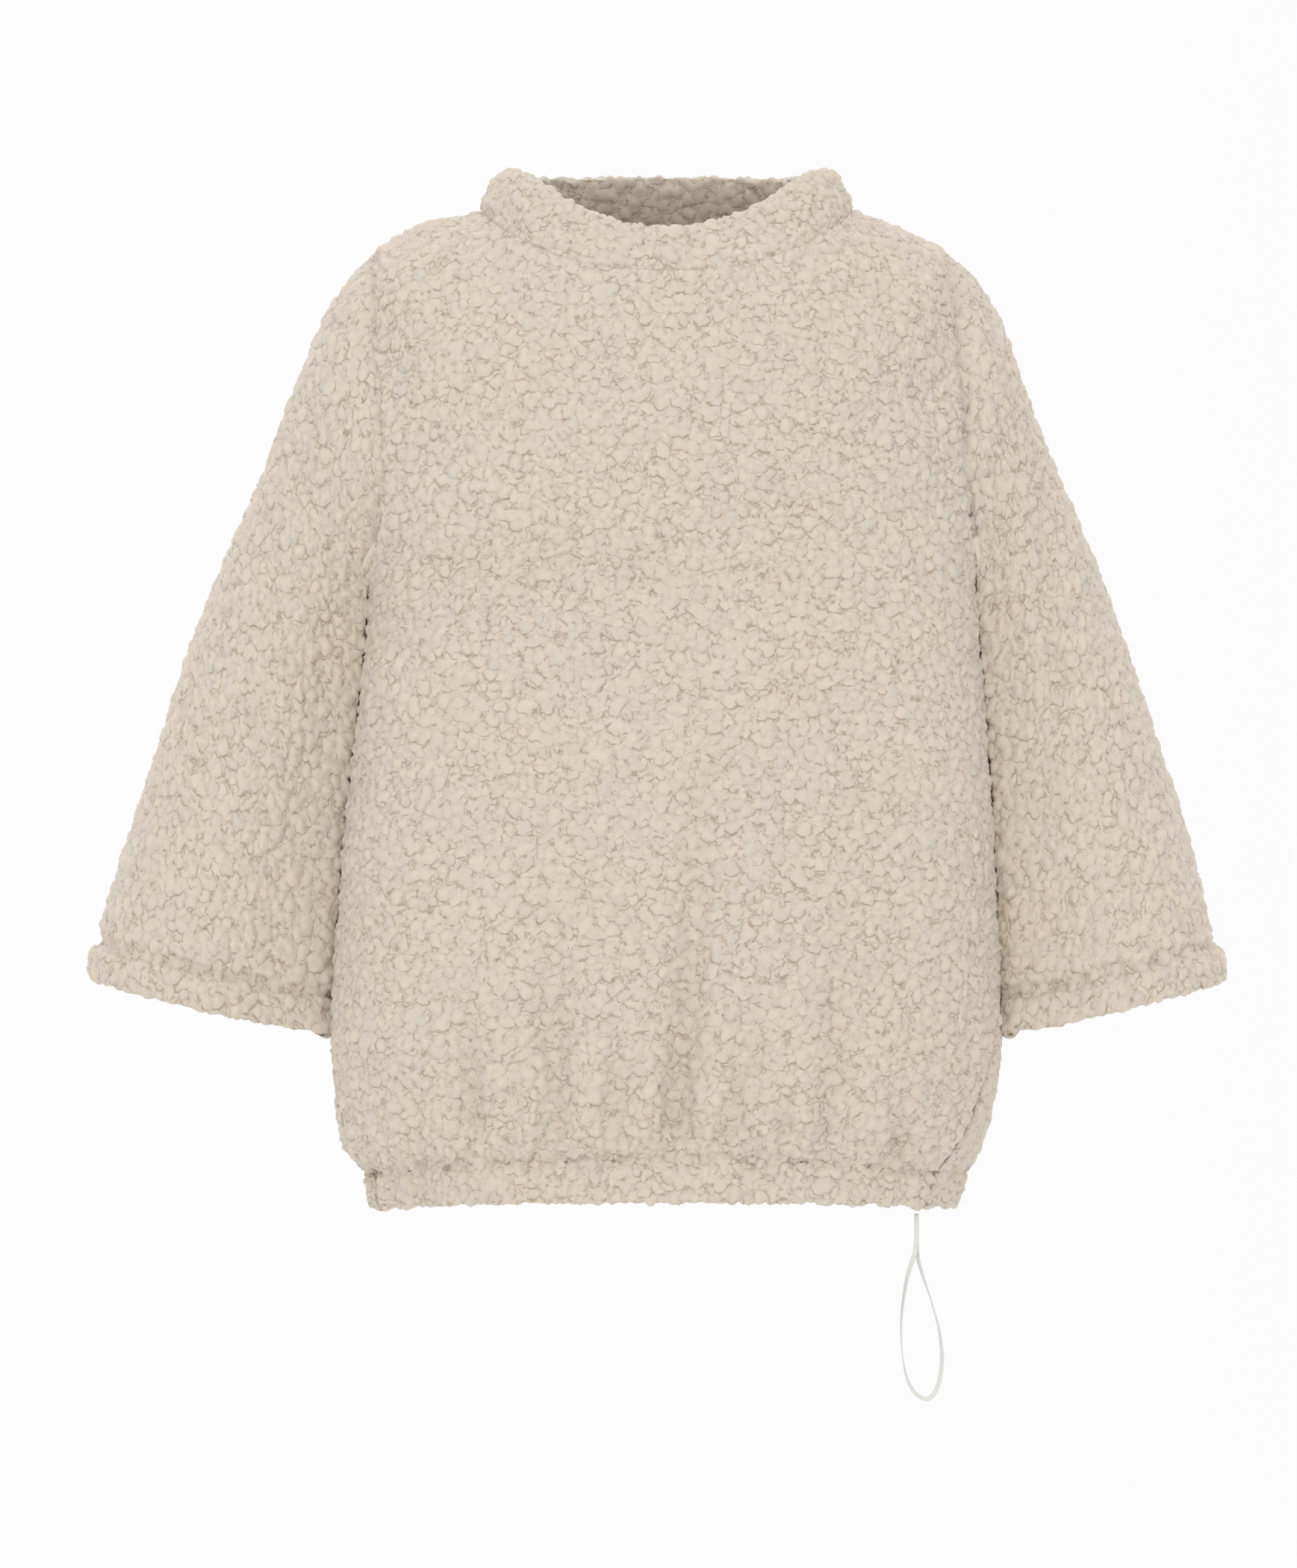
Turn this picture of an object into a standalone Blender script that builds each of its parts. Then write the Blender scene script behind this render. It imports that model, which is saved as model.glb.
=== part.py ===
"""Curl pile pullover with a funnel collar, wide sleeves and a drawn hem, worn open and hollow.

Metres, +Z up, +X towards the wearer's left, -Y towards the front. The origin lies between the
two points where the collar meets the shoulders, which is where the wearer holds the garment up.
The cloth wall is as thick as the knit and its pile together.
"""
import math
from collections import namedtuple

import bpy
import bmesh
import numpy as np

SEAM_GAP = 0.0003
CLOTH = 0.0065
FOLDED_CLOTH = 0.0130

PANEL_COLUMNS = 32
ARMHOLE_STEPS = 12

# The body is a stack of rounded sections, each named by its height at the side of the wearer.
# right and left are half widths, front and back are depths, and the drops say how much lower
# a section runs at the centre front and back. The rows: neck seam, two on the shoulder, shoulder
# tip, three along the armhole, underarm, five down the body, the drawn hem, its stitch line and
# the casing.
BodySection = namedtuple("BodySection", "height right left front back front_drop back_drop wall")
BODY_SECTIONS = [
    BodySection(0.0000, 0.1250, 0.1250, 0.100, 0.085, 0.0470, 0.0080, CLOTH),
    BodySection(-0.0060, 0.1610, 0.1470, 0.111, 0.099, 0.0720, 0.0300, CLOTH),
    BodySection(-0.0145, 0.1780, 0.1650, 0.118, 0.107, 0.0930, 0.0590, CLOTH),
    BodySection(-0.0260, 0.1950, 0.1860, 0.122, 0.112, 0.1050, 0.0800, CLOTH),
    BodySection(-0.0700, 0.2065, 0.2020, 0.128, 0.117, 0.0950, 0.0850, CLOTH),
    BodySection(-0.1300, 0.2090, 0.2110, 0.131, 0.119, 0.0700, 0.0650, CLOTH),
    BodySection(-0.1950, 0.2040, 0.2110, 0.133, 0.119, 0.0350, 0.0330, CLOTH),
    BodySection(-0.2550, 0.2020, 0.2105, 0.134, 0.119, 0.0050, 0.0050, CLOTH),
    BodySection(-0.3400, 0.2075, 0.2155, 0.137, 0.120, 0.0000, 0.0000, CLOTH),
    BodySection(-0.4125, 0.2160, 0.2195, 0.139, 0.122, 0.0000, 0.0000, CLOTH),
    BodySection(-0.4875, 0.2210, 0.2225, 0.141, 0.124, 0.0000, 0.0000, CLOTH),
    BodySection(-0.5500, 0.2235, 0.2235, 0.141, 0.124, -0.0020, 0.0000, CLOTH),
    BodySection(-0.6000, 0.2205, 0.2180, 0.139, 0.122, -0.0060, -0.0020, CLOTH),
    BodySection(-0.6225, 0.2165, 0.2110, 0.135, 0.118, -0.0100, -0.0040, CLOTH),
    BodySection(-0.6340, 0.2070, 0.2045, 0.130, 0.112, -0.0130, -0.0060, 0.0080),
    BodySection(-0.6415, 0.1985, 0.1975, 0.125, 0.106, -0.0165, -0.0070, 0.0100),
    BodySection(-0.6500, 0.2005, 0.1980, 0.128, 0.110, -0.0145, -0.0060, FOLDED_CLOTH),
    BodySection(-0.6600, 0.2005, 0.1965, 0.128, 0.110, -0.0110, -0.0050, FOLDED_CLOTH),
    BodySection(-0.6680, 0.1950, 0.1900, 0.123, 0.105, -0.0090, -0.0040, 0.0100),
]
SQUARENESS = 2.4
DROP_POWER = 1.7
ROWS_BETWEEN_SECTIONS = [2, 1, 2, 0, 0, 0, 0, 3, 2, 2, 2, 2, 1, 1, 1, 1, 1, 1]
SHOULDER_TIP = BODY_SECTIONS[3].height
UNDERARM = BODY_SECTIONS[7].height
CASING_HEIGHT = BODY_SECTIONS[-3].height
HEM_HEIGHT = BODY_SECTIONS[-1].height

# Each armhole opens this far, in degrees of turn from the side, half way down.
ARMHOLE_TURN_RIGHT = 31
ARMHOLE_TURN_LEFT = 26

# The drawn cord turns the side seams towards the front, all of it in the lowest stretch.
SEAM_TURN_RIGHT = 18
SEAM_TURN_LEFT = 32
SEAM_TURN_START = -0.42

# The collar stands up from the neck seam, folds over at its rim and comes down inside.
CollarRing = namedtuple("CollarRing", "height half_width front back front_drop back_drop power")
COLLAR_RINGS = [
    CollarRing(0.0080, 0.1235, 0.0965, 0.0830, 0.0440, 0.0050, 1.9),
    CollarRing(0.0170, 0.1195, 0.0920, 0.0800, 0.0430, 0.0000, 2.3),
    CollarRing(0.0245, 0.1145, 0.0875, 0.0770, 0.0425, -0.0040, 2.8),
    CollarRing(0.0285, 0.1065, 0.0815, 0.0710, 0.0435, -0.0030, 3.0),
    CollarRing(0.0245, 0.0985, 0.0745, 0.0640, 0.0425, -0.0040, 2.8),
    CollarRing(0.0120, 0.1050, 0.0800, 0.0690, 0.0430, 0.0030, 2.2),
]

# A sleeve's sections run from its outer edge to its underarm edge, which hangs beside the body
# and a little behind its widest line. The rows: armhole seam, two over its crest, six down the
# sleeve, the stitch line in two rows, and the turned hem.
SleeveSection = namedtuple("SleeveSection", "reach_right reach_left outer_height inner_height "
                           "inner_gap set_back front back wall")
SLEEVE_SECTIONS = [
    SleeveSection(0.1950, 0.1860, -0.0260, -0.2550, 0.0000, 0.000, 0.072, 0.066, CLOTH),
    SleeveSection(0.2085, 0.2020, -0.0390, -0.2505, 0.0030, 0.000, 0.072, 0.067, CLOTH),
    SleeveSection(0.2285, 0.2220, -0.0675, -0.2570, 0.0030, 0.002, 0.072, 0.069, CLOTH),
    SleeveSection(0.2475, 0.2385, -0.1125, -0.2720, 0.0020, 0.005, 0.072, 0.071, CLOTH),
    SleeveSection(0.2710, 0.2620, -0.1725, -0.3000, 0.0015, 0.010, 0.073, 0.074, CLOTH),
    SleeveSection(0.2975, 0.2880, -0.2325, -0.3370, 0.0015, 0.015, 0.074, 0.076, CLOTH),
    SleeveSection(0.3215, 0.3100, -0.2925, -0.3800, 0.0015, 0.019, 0.076, 0.078, CLOTH),
    SleeveSection(0.3445, 0.3340, -0.3625, -0.4260, 0.0015, 0.022, 0.078, 0.080, CLOTH),
    SleeveSection(0.3665, 0.3550, -0.4300, -0.4730, 0.0015, 0.024, 0.081, 0.082, CLOTH),
    SleeveSection(0.3810, 0.3665, -0.4780, -0.5150, 0.0020, 0.025, 0.082, 0.083, 0.0080),
    SleeveSection(0.3815, 0.3690, -0.4860, -0.5230, 0.0040, 0.025, 0.080, 0.081, 0.0100),
    SleeveSection(0.3900, 0.3760, -0.4980, -0.5330, 0.0015, 0.025, 0.084, 0.085, FOLDED_CLOTH),
    SleeveSection(0.3895, 0.3770, -0.5090, -0.5450, 0.0015, 0.025, 0.084, 0.085, FOLDED_CLOTH),
    SleeveSection(0.3820, 0.3720, -0.5150, -0.5540, 0.0045, 0.025, 0.080, 0.081, 0.0100),
]
SLEEVE_SQUARENESS = 2.15
SLEEVE_ROWS_BETWEEN = [1, 1, 2, 2, 2, 2, 2, 2, 1, 1, 1, 1, 1]
ARMHOLE_EASE = 4.0

# Folds run between two points of a piece, seen square on, and sink inwards. A fold ends in a
# short tail below its bottom point.
FOLD_TAIL = 0.020
Fold = namedtuple("Fold", "piece x_top z_top x_bottom z_bottom half_width depth")
FOLDS = [
    Fold("front", 0.034, -0.275, 0.006, -0.625, 0.022, 0.0075),
    Fold("front", -0.071, -0.440, -0.074, -0.625, 0.018, 0.0055),
    Fold("front", -0.138, -0.510, -0.126, -0.625, 0.020, 0.0055),
    Fold("front", 0.064, -0.520, 0.042, -0.625, 0.016, 0.0040),
    Fold("front", 0.120, -0.480, 0.106, -0.625, 0.018, 0.0045),
    Fold("front", -0.030, -0.540, -0.034, -0.625, 0.016, 0.0035),
    Fold("front", -0.168, -0.560, -0.164, -0.632, 0.014, 0.0040),
    Fold("front", 0.158, -0.570, 0.152, -0.640, 0.014, 0.0060),
    Fold("front", -0.060, -0.150, -0.180, -0.290, 0.030, 0.0030),
    Fold("back", -0.052, -0.300, -0.038, -0.632, 0.022, 0.0065),
    Fold("back", 0.078, -0.400, 0.066, -0.632, 0.020, 0.0060),
    Fold("back", 0.020, -0.500, 0.016, -0.632, 0.016, 0.0040),
    Fold("back", -0.105, -0.470, -0.098, -0.632, 0.018, 0.0050),
    Fold("back", 0.132, -0.520, 0.122, -0.632, 0.018, 0.0050),
    Fold("back", -0.158, -0.540, -0.150, -0.636, 0.016, 0.0050),
    Fold("sleeve_left", 0.2460, -0.120, 0.2560, -0.300, 0.012, 0.0055),
    Fold("sleeve_right", -0.2650, -0.165, -0.2700, -0.350, 0.014, 0.0045),
]

# The loop of flat elastic hangs from under the casing at the wearer's left seam: one strand
# down, round the bottom and back up behind the first.
CORD_WIDTH = 0.003
CORD_POINTS = [
    (0.1644, -0.0690, -0.6657), (0.1645, -0.0691, -0.6726), (0.1642, -0.0691, -0.6824),
    (0.1634, -0.0690, -0.6905), (0.1619, -0.0689, -0.6955), (0.1601, -0.0688, -0.7011),
    (0.1580, -0.0686, -0.7089), (0.1560, -0.0684, -0.7207), (0.1545, -0.0681, -0.7345),
    (0.1545, -0.0679, -0.7473), (0.1554, -0.0677, -0.7601), (0.1577, -0.0675, -0.7719),
    (0.1610, -0.0673, -0.7798), (0.1650, -0.0671, -0.7848), (0.1707, -0.0669, -0.7875),
    (0.1753, -0.0667, -0.7850), (0.1784, -0.0664, -0.7794), (0.1804, -0.0661, -0.7719),
    (0.1814, -0.0658, -0.7601), (0.1807, -0.0655, -0.7512), (0.1792, -0.0652, -0.7404),
    (0.1763, -0.0649, -0.7301), (0.1736, -0.0647, -0.7207), (0.1702, -0.0646, -0.7109),
    (0.1671, -0.0646, -0.7011), (0.1656, -0.0647, -0.6950), (0.1648, -0.0648, -0.6883),
    (0.1646, -0.0649, -0.6800), (0.1646, -0.0650, -0.6726), (0.1645, -0.0650, -0.6657),
]
CORD_TUBE_POINTS = 64

PILE_COLOUR = (0.680, 0.605, 0.500)
PILE_ROUGHNESS = 0.95
CORD_COLOUR = (0.720, 0.720, 0.690)
CORD_ROUGHNESS = 0.60


def clear_scene():
    for item in list(bpy.data.objects):
        bpy.data.objects.remove(item, do_unlink=True)


def make_material(name, colour, roughness):
    material = bpy.data.materials.new(name)
    material.use_nodes = True
    shader = material.node_tree.nodes["Principled BSDF"]
    shader.inputs["Base Color"].default_value = (*colour, 1.0)
    shader.inputs["Roughness"].default_value = roughness
    shader.inputs["Metallic"].default_value = 0.0
    return material


def slopes_without_overshoot(places, values):
    """Slope at each table row, kept flat at a peak so that the curve never overshoots its rows."""
    steps = np.diff(places)
    rises = np.diff(values) / steps
    slopes = np.zeros(len(values))
    slopes[0] = rises[0]
    slopes[-1] = rises[-1]
    for row in range(1, len(values) - 1):
        before = rises[row - 1]
        after = rises[row]
        if before * after > 0:
            weight_before = 2 * steps[row] + steps[row - 1]
            weight_after = steps[row] + 2 * steps[row - 1]
            slopes[row] = (weight_before + weight_after) / (weight_before / before + weight_after / after)
    return slopes


class TableCurves:
    """Smooth curves through the columns of a table, read at any place along its rows."""

    def __init__(self, rows, places):
        self.places = np.array(places, float)
        self.columns = {}
        for name in rows[0]._fields:
            values = np.array([getattr(row, name) for row in rows], float)
            self.columns[name] = (values, slopes_without_overshoot(self.places, values))

    def read(self, name, place):
        values, slopes = self.columns[name]
        row = int(np.clip(np.searchsorted(self.places, place) - 1, 0, len(self.places) - 2))
        step = self.places[row + 1] - self.places[row]
        share = (place - self.places[row]) / step
        share_left = 1.0 - share
        return (values[row] * (1 + 2 * share) * share_left ** 2
                + slopes[row] * step * share * share_left ** 2
                + values[row + 1] * share ** 2 * (3 - 2 * share)
                - slopes[row + 1] * step * share ** 2 * share_left)


def signed_power(value, power):
    return math.copysign(abs(value) ** power, value)


def ease(share):
    share = min(max(share, 0.0), 1.0)
    return share * share * (3 - 2 * share)


def unit(vector):
    return vector / max(np.linalg.norm(vector), 1e-12)


BODY = TableCurves(BODY_SECTIONS, [-section.height for section in BODY_SECTIONS])


def body_point(turn, height):
    """Outer surface of the body. turn 0 is the wearer's left side, a quarter turn the front."""
    depth_below = -height
    across = signed_power(math.cos(turn), 2 / SQUARENESS)
    forwards = signed_power(math.sin(turn), 2 / SQUARENESS)
    half_width = BODY.read("left" if across > 0 else "right", depth_below)
    depth = BODY.read("front" if forwards > 0 else "back", depth_below)
    drop = BODY.read("front_drop" if forwards > 0 else "back_drop", depth_below)
    return np.array([half_width * across, -depth * forwards,
                     height - drop * abs(math.sin(turn)) ** DROP_POWER])


def body_normal(turn, height):
    turn_step = 0.02
    height_step = 0.0008
    low = max(height - height_step, HEM_HEIGHT)
    high = min(height + height_step, 0.0)
    along_turn = body_point(turn + turn_step, height) - body_point(turn - turn_step, height)
    along_height = body_point(turn, high) - body_point(turn, low)
    normal = unit(np.cross(along_height, along_turn))
    slightly_up = 0.15
    outwards = np.array([math.cos(turn), -math.sin(turn), slightly_up])
    return normal if normal @ outwards > 0 else -normal


def fold_depth(piece, point):
    """How far the folds of a piece push this point of its surface inwards."""
    depth = 0.0
    for fold in FOLDS:
        if fold.piece != piece:
            continue
        run = np.array([fold.x_bottom - fold.x_top, fold.z_bottom - fold.z_top])
        offset = np.array([point[0] - fold.x_top, point[2] - fold.z_top])
        along = offset @ run / (run @ run)
        aside = abs(offset[0] * run[1] - offset[1] * run[0]) / np.linalg.norm(run)
        beyond = max(along - 1.0, 0.0) * np.linalg.norm(run)
        growth = ease(along) * ease(1 - beyond / FOLD_TAIL)
        depth += fold.depth * growth * math.exp(-2 * (aside / fold.half_width) ** 2)
    return depth


def seam_turn(height, left_side):
    """Turn of the side seam towards the front, in radians."""
    share = ease((SEAM_TURN_START - height) / (SEAM_TURN_START - HEM_HEIGHT))
    return math.radians(SEAM_TURN_LEFT if left_side else SEAM_TURN_RIGHT) * share


def armhole_turn(height, left_side):
    """Turn of the armhole's edge from the side, which makes the hole a tall oval."""
    middle = (SHOULDER_TIP + UNDERARM) / 2
    reach = (SHOULDER_TIP - UNDERARM) / 2
    share = max(1 - ((height - middle) / reach) ** 2, 0.0)
    return math.radians(ARMHOLE_TURN_LEFT if left_side else ARMHOLE_TURN_RIGHT) * math.sqrt(share)


def panel_edges(piece, height):
    """The turns where a panel starts, on the wearer's left, and ends, on the wearer's right."""
    hole_left = armhole_turn(height, True)
    hole_right = armhole_turn(height, False)
    twist_left = seam_turn(height, True)
    twist_right = seam_turn(height, False)
    if piece == "front":
        return hole_left + twist_left, math.pi - hole_right - twist_right
    return twist_left - hole_left, -math.pi + hole_right - twist_right


def panel_heights():
    """Side heights of a panel's rows, with rows set for the sleeve's points along the armhole."""
    heights = [BODY_SECTIONS[0].height]
    for upper, lower, count in zip(BODY_SECTIONS, BODY_SECTIONS[1:], ROWS_BETWEEN_SECTIONS):
        for step in range(1, count + 1):
            heights.append(upper.height + (lower.height - upper.height) * step / count)
        if lower.height == SHOULDER_TIP:
            heights.extend(armhole_heights()[1:])
    return heights


def armhole_heights():
    middle = (SHOULDER_TIP + UNDERARM) / 2
    reach = (SHOULDER_TIP - UNDERARM) / 2
    return [middle + reach * math.cos(math.pi * step / ARMHOLE_STEPS)
            for step in range(ARMHOLE_STEPS + 1)]


def panel_grids(piece):
    """Outer points, inner points and normals of the front or back panel, row by row."""
    outer = []
    inner = []
    normals = []
    seam_shift = SEAM_GAP / 2 if piece == "front" else -SEAM_GAP / 2
    for height in panel_heights():
        first, last = panel_edges(piece, height)
        turns = np.linspace(first, last, PANEL_COLUMNS + 1)
        wall = BODY.read("wall", -height)
        outer_row = []
        inner_row = []
        normal_row = []
        for column, turn in enumerate(turns):
            point = body_point(turn, height)
            normal = body_normal(turn, max(height, CASING_HEIGHT))
            point = point - normal * fold_depth(piece, point)
            if column in (0, PANEL_COLUMNS):
                point = point - np.array([0.0, seam_shift, 0.0])
            outer_row.append(point)
            inner_row.append(point - normal * wall)
            normal_row.append(normal)
        outer.append(outer_row)
        inner.append(inner_row)
        normals.append(normal_row)
    return np.array(outer), np.array(inner), np.array(normals)


def add_grid(mesh, grid, wrapped):
    """Vertices for a grid, with the faces between its rows."""
    rows = [[mesh.verts.new(point) for point in row] for row in grid]
    for upper, lower in zip(rows, rows[1:]):
        count = len(upper)
        for column in range(count if wrapped else count - 1):
            after = (column + 1) % count
            mesh.faces.new((upper[column], lower[column], lower[after], upper[after]))
    return rows


def bridge(mesh, outer, inner, wrapped):
    """Cut edge of the cloth. Both sides of a seam split it alike, so that they stay apart."""
    count = len(outer)
    for step in range(count if wrapped else count - 1):
        after = (step + 1) % count
        if outer[step].co.z >= outer[after].co.z:
            mesh.faces.new((outer[step], outer[after], inner[after]))
            mesh.faces.new((outer[step], inner[after], inner[step]))
        else:
            mesh.faces.new((outer[step], outer[after], inner[step]))
            mesh.faces.new((outer[after], inner[after], inner[step]))


def finish_object(name, mesh, material):
    bmesh.ops.recalc_face_normals(mesh, faces=mesh.faces)
    data = bpy.data.meshes.new(name)
    mesh.to_mesh(data)
    mesh.free()
    data.shade_smooth()
    data.materials.append(material)
    item = bpy.data.objects.new(name, data)
    bpy.context.scene.collection.objects.link(item)
    return item


def make_panel(name, outer, inner, material):
    mesh = bmesh.new()
    outer_rows = add_grid(mesh, outer, False)
    inner_rows = add_grid(mesh, inner, False)
    bridge(mesh, outer_rows[0], inner_rows[0], False)
    bridge(mesh, outer_rows[-1], inner_rows[-1], False)
    for side in (0, -1):
        bridge(mesh, [row[side] for row in outer_rows], [row[side] for row in inner_rows], False)
    return finish_object(name, mesh, material)


def make_tube(name, outer, inner, material):
    mesh = bmesh.new()
    outer_rows = add_grid(mesh, outer, True)
    inner_rows = add_grid(mesh, inner, True)
    bridge(mesh, outer_rows[0], inner_rows[0], True)
    bridge(mesh, outer_rows[-1], inner_rows[-1], True)
    return finish_object(name, mesh, material)


def off_the_panel(loop, normals, middle_of_hole):
    """At each point of a closed seam, the direction in the cloth that leads off the panel."""
    before = np.roll(loop, 1, axis=0)
    after = np.roll(loop, -1, axis=0)
    directions = []
    for point, previous, following, normal in zip(loop, before, after, normals):
        direction = unit(np.cross(following - previous, normal))
        if direction @ (middle_of_hole - point) < 0:
            direction = -direction
        directions.append(direction)
    return np.array(directions)


def armhole_loop(front, back, left_side):
    """Outer points, inner points and normals round an armhole: down the front, up the back."""
    heights = panel_heights()
    top = heights.index(SHOULDER_TIP)
    bottom = top + ARMHOLE_STEPS
    column = 0 if left_side else -1
    loops = []
    for front_grid, back_grid in zip(front, back):
        down = front_grid[top:bottom + 1, column].copy()
        up = back_grid[top + 1:bottom, column][::-1]
        down[0] = (down[0] + back_grid[top, column]) / 2
        down[-1] = (down[-1] + back_grid[bottom, column]) / 2
        loops.append(np.concatenate([down, up]))
    return loops


def surface_normals(grid, outwards_from):
    """Normals of a tube's grid, pointing away from a line of points, one for each row."""
    normals = np.zeros_like(grid)
    rows, columns = grid.shape[:2]
    for row in range(rows):
        above = grid[max(row - 1, 0)]
        below = grid[min(row + 1, rows - 1)]
        for column in range(columns):
            around = grid[row][(column + 1) % columns] - grid[row][column - 1]
            normal = unit(np.cross(below[column] - above[column], around))
            if normal @ (grid[row][column] - outwards_from[row]) < 0:
                normal = -normal
            normals[row][column] = normal
    return normals


def sleeve_section_ring(curves, place, left_side):
    """One section of a sleeve, and its middle."""
    side = 1 if left_side else -1
    reach = curves.read("reach_left" if left_side else "reach_right", place)
    inner_height = curves.read("inner_height", place)
    set_back = curves.read("set_back", place)
    body_half = BODY.read("left" if left_side else "right", -inner_height)
    body_back = BODY.read("back", -inner_height)
    body_side = body_half * (1 - (set_back / body_back) ** SQUARENESS) ** (1 / SQUARENESS)
    inner_reach = body_side + curves.read("inner_gap", place)
    outer_edge = np.array([side * reach, set_back, curves.read("outer_height", place)])
    inner_edge = np.array([side * inner_reach, set_back, inner_height])
    middle = (outer_edge + inner_edge) / 2
    half = (outer_edge - inner_edge) / 2
    ring = []
    for step in range(2 * ARMHOLE_STEPS):
        turn = math.pi * step / ARMHOLE_STEPS
        forwards = signed_power(math.sin(turn), 2 / SLEEVE_SQUARENESS)
        depth = curves.read("front" if forwards > 0 else "back", place)
        ring.append(middle + half * signed_power(math.cos(turn), 2 / SLEEVE_SQUARENESS)
                    + np.array([0.0, -depth * forwards, 0.0]))
    return np.array(ring), middle


def sleeve_grids(piece, front, back):
    left_side = piece == "sleeve_left"
    seam_outer, seam_inner, seam_normals = armhole_loop(front, back, left_side)
    curves = TableCurves(SLEEVE_SECTIONS, range(len(SLEEVE_SECTIONS)))
    places = [0.0]
    for section, count in enumerate(SLEEVE_ROWS_BETWEEN):
        places.extend(section + (step + 1) / count for step in range(count))
    plain_seam, _ = sleeve_section_ring(curves, 0.0, left_side)
    rings = []
    middles = []
    for place in places:
        ring, middle = sleeve_section_ring(curves, place, left_side)
        rings.append(ring + (seam_outer - plain_seam) * (1 - ease(place / ARMHOLE_EASE)))
        middles.append(middle)
    outer = np.array(rings)
    normals = surface_normals(outer, middles)
    normals[0] = seam_normals
    normals[-1] = normals[-3]
    for row in range(1, len(places)):
        for column in range(2 * ARMHOLE_STEPS):
            point = outer[row][column]
            if point[1] < middles[row][1]:
                outer[row][column] = point - normals[row][column] * fold_depth(piece, point)
    walls = np.array([curves.read("wall", place) for place in places])
    inner = outer - normals * walls[:, None, None]
    gap = off_the_panel(seam_outer, seam_normals, seam_outer.mean(axis=0)) * SEAM_GAP
    outer[0] = seam_outer + gap
    inner[0] = seam_inner + gap
    return outer, inner


def collar_ring_points(ring, turns):
    points = []
    for turn in turns:
        across = signed_power(math.cos(turn), 2 / SQUARENESS)
        forwards = signed_power(math.sin(turn), 2 / SQUARENESS)
        depth = ring.front if forwards > 0 else ring.back
        drop = ring.front_drop if forwards > 0 else ring.back_drop
        points.append(np.array([ring.half_width * across, -depth * forwards,
                                ring.height - drop * abs(math.sin(turn)) ** ring.power]))
    return np.array(points)


def make_collar(front, back, material):
    """The collar's section is a closed loop of rings, from the neck seam over the rim and back."""
    seams = []
    for front_grid, back_grid in zip(front, back):
        round_front = front_grid[0].copy()
        round_front[0] = (round_front[0] + back_grid[0][0]) / 2
        round_front[-1] = (round_front[-1] + back_grid[0][-1]) / 2
        seams.append(np.concatenate([round_front, back_grid[0][1:-1][::-1]]))
    seam_outer, seam_inner, seam_normals = seams
    front_turns = np.linspace(0.0, math.pi, PANEL_COLUMNS + 1)
    back_turns = np.linspace(math.pi, 2 * math.pi, PANEL_COLUMNS + 1)[1:-1]
    turns = np.concatenate([front_turns, back_turns])
    middle_of_neck = np.array([0.0, 0.0, COLLAR_RINGS[2].height])
    gap = off_the_panel(seam_outer, seam_normals, middle_of_neck) * SEAM_GAP
    rings = [seam_outer + gap]
    rings.extend(collar_ring_points(ring, turns) for ring in COLLAR_RINGS)
    rings.append(seam_inner + gap)
    mesh = bmesh.new()
    rows = add_grid(mesh, rings, True)
    bridge(mesh, rows[-1], rows[0], True)
    return finish_object("collar", mesh, material)


def smooth_route(points, count):
    """Evenly counted points on a smooth curve through the route's own points."""
    points = np.array(points)
    padded = np.concatenate([[2 * points[0] - points[1]], points, [2 * points[-1] - points[-2]]])
    route = []
    for place in np.linspace(0, len(points) - 1, count):
        start = min(int(place), len(points) - 2)
        share = place - start
        before, first, second, after = padded[start:start + 4]
        route.append(first + 0.5 * share * (second - before
                     + share * (2 * before - 5 * first + 4 * second - after
                                + share * (3 * (first - second) + after - before))))
    return route


def make_drawcord(material):
    curve = bpy.data.curves.new("drawcord", "CURVE")
    curve.dimensions = "3D"
    curve.bevel_depth = CORD_WIDTH / 2
    curve.bevel_resolution = 2
    curve.use_fill_caps = True
    route = smooth_route(CORD_POINTS, CORD_TUBE_POINTS)
    spline = curve.splines.new("POLY")
    spline.points.add(len(route) - 1)
    for point, place in zip(spline.points, route):
        point.co = (*place, 1.0)
    curve.materials.append(material)
    item = bpy.data.objects.new("drawcord", curve)
    bpy.context.scene.collection.objects.link(item)
    return item


def main():
    clear_scene()
    pile = make_material("pile_cloth", PILE_COLOUR, PILE_ROUGHNESS)
    elastic = make_material("elastic_cord", CORD_COLOUR, CORD_ROUGHNESS)
    front = panel_grids("front")
    back = panel_grids("back")
    make_panel("front", front[0], front[1], pile)
    make_panel("back", back[0], back[1], pile)
    for piece in ("sleeve_left", "sleeve_right"):
        outer, inner = sleeve_grids(piece, front, back)
        make_tube(piece, outer, inner, pile)
    make_collar(front, back, pile)
    make_drawcord(elastic)


main()
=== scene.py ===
"""The looks of a curl pile pullover: hollow as worn, with a funnel collar and a drawn hem.

Metres, +Z up, +X towards the wearer's left, -Y towards the front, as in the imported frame.
"""

import math
from collections import namedtuple

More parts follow.
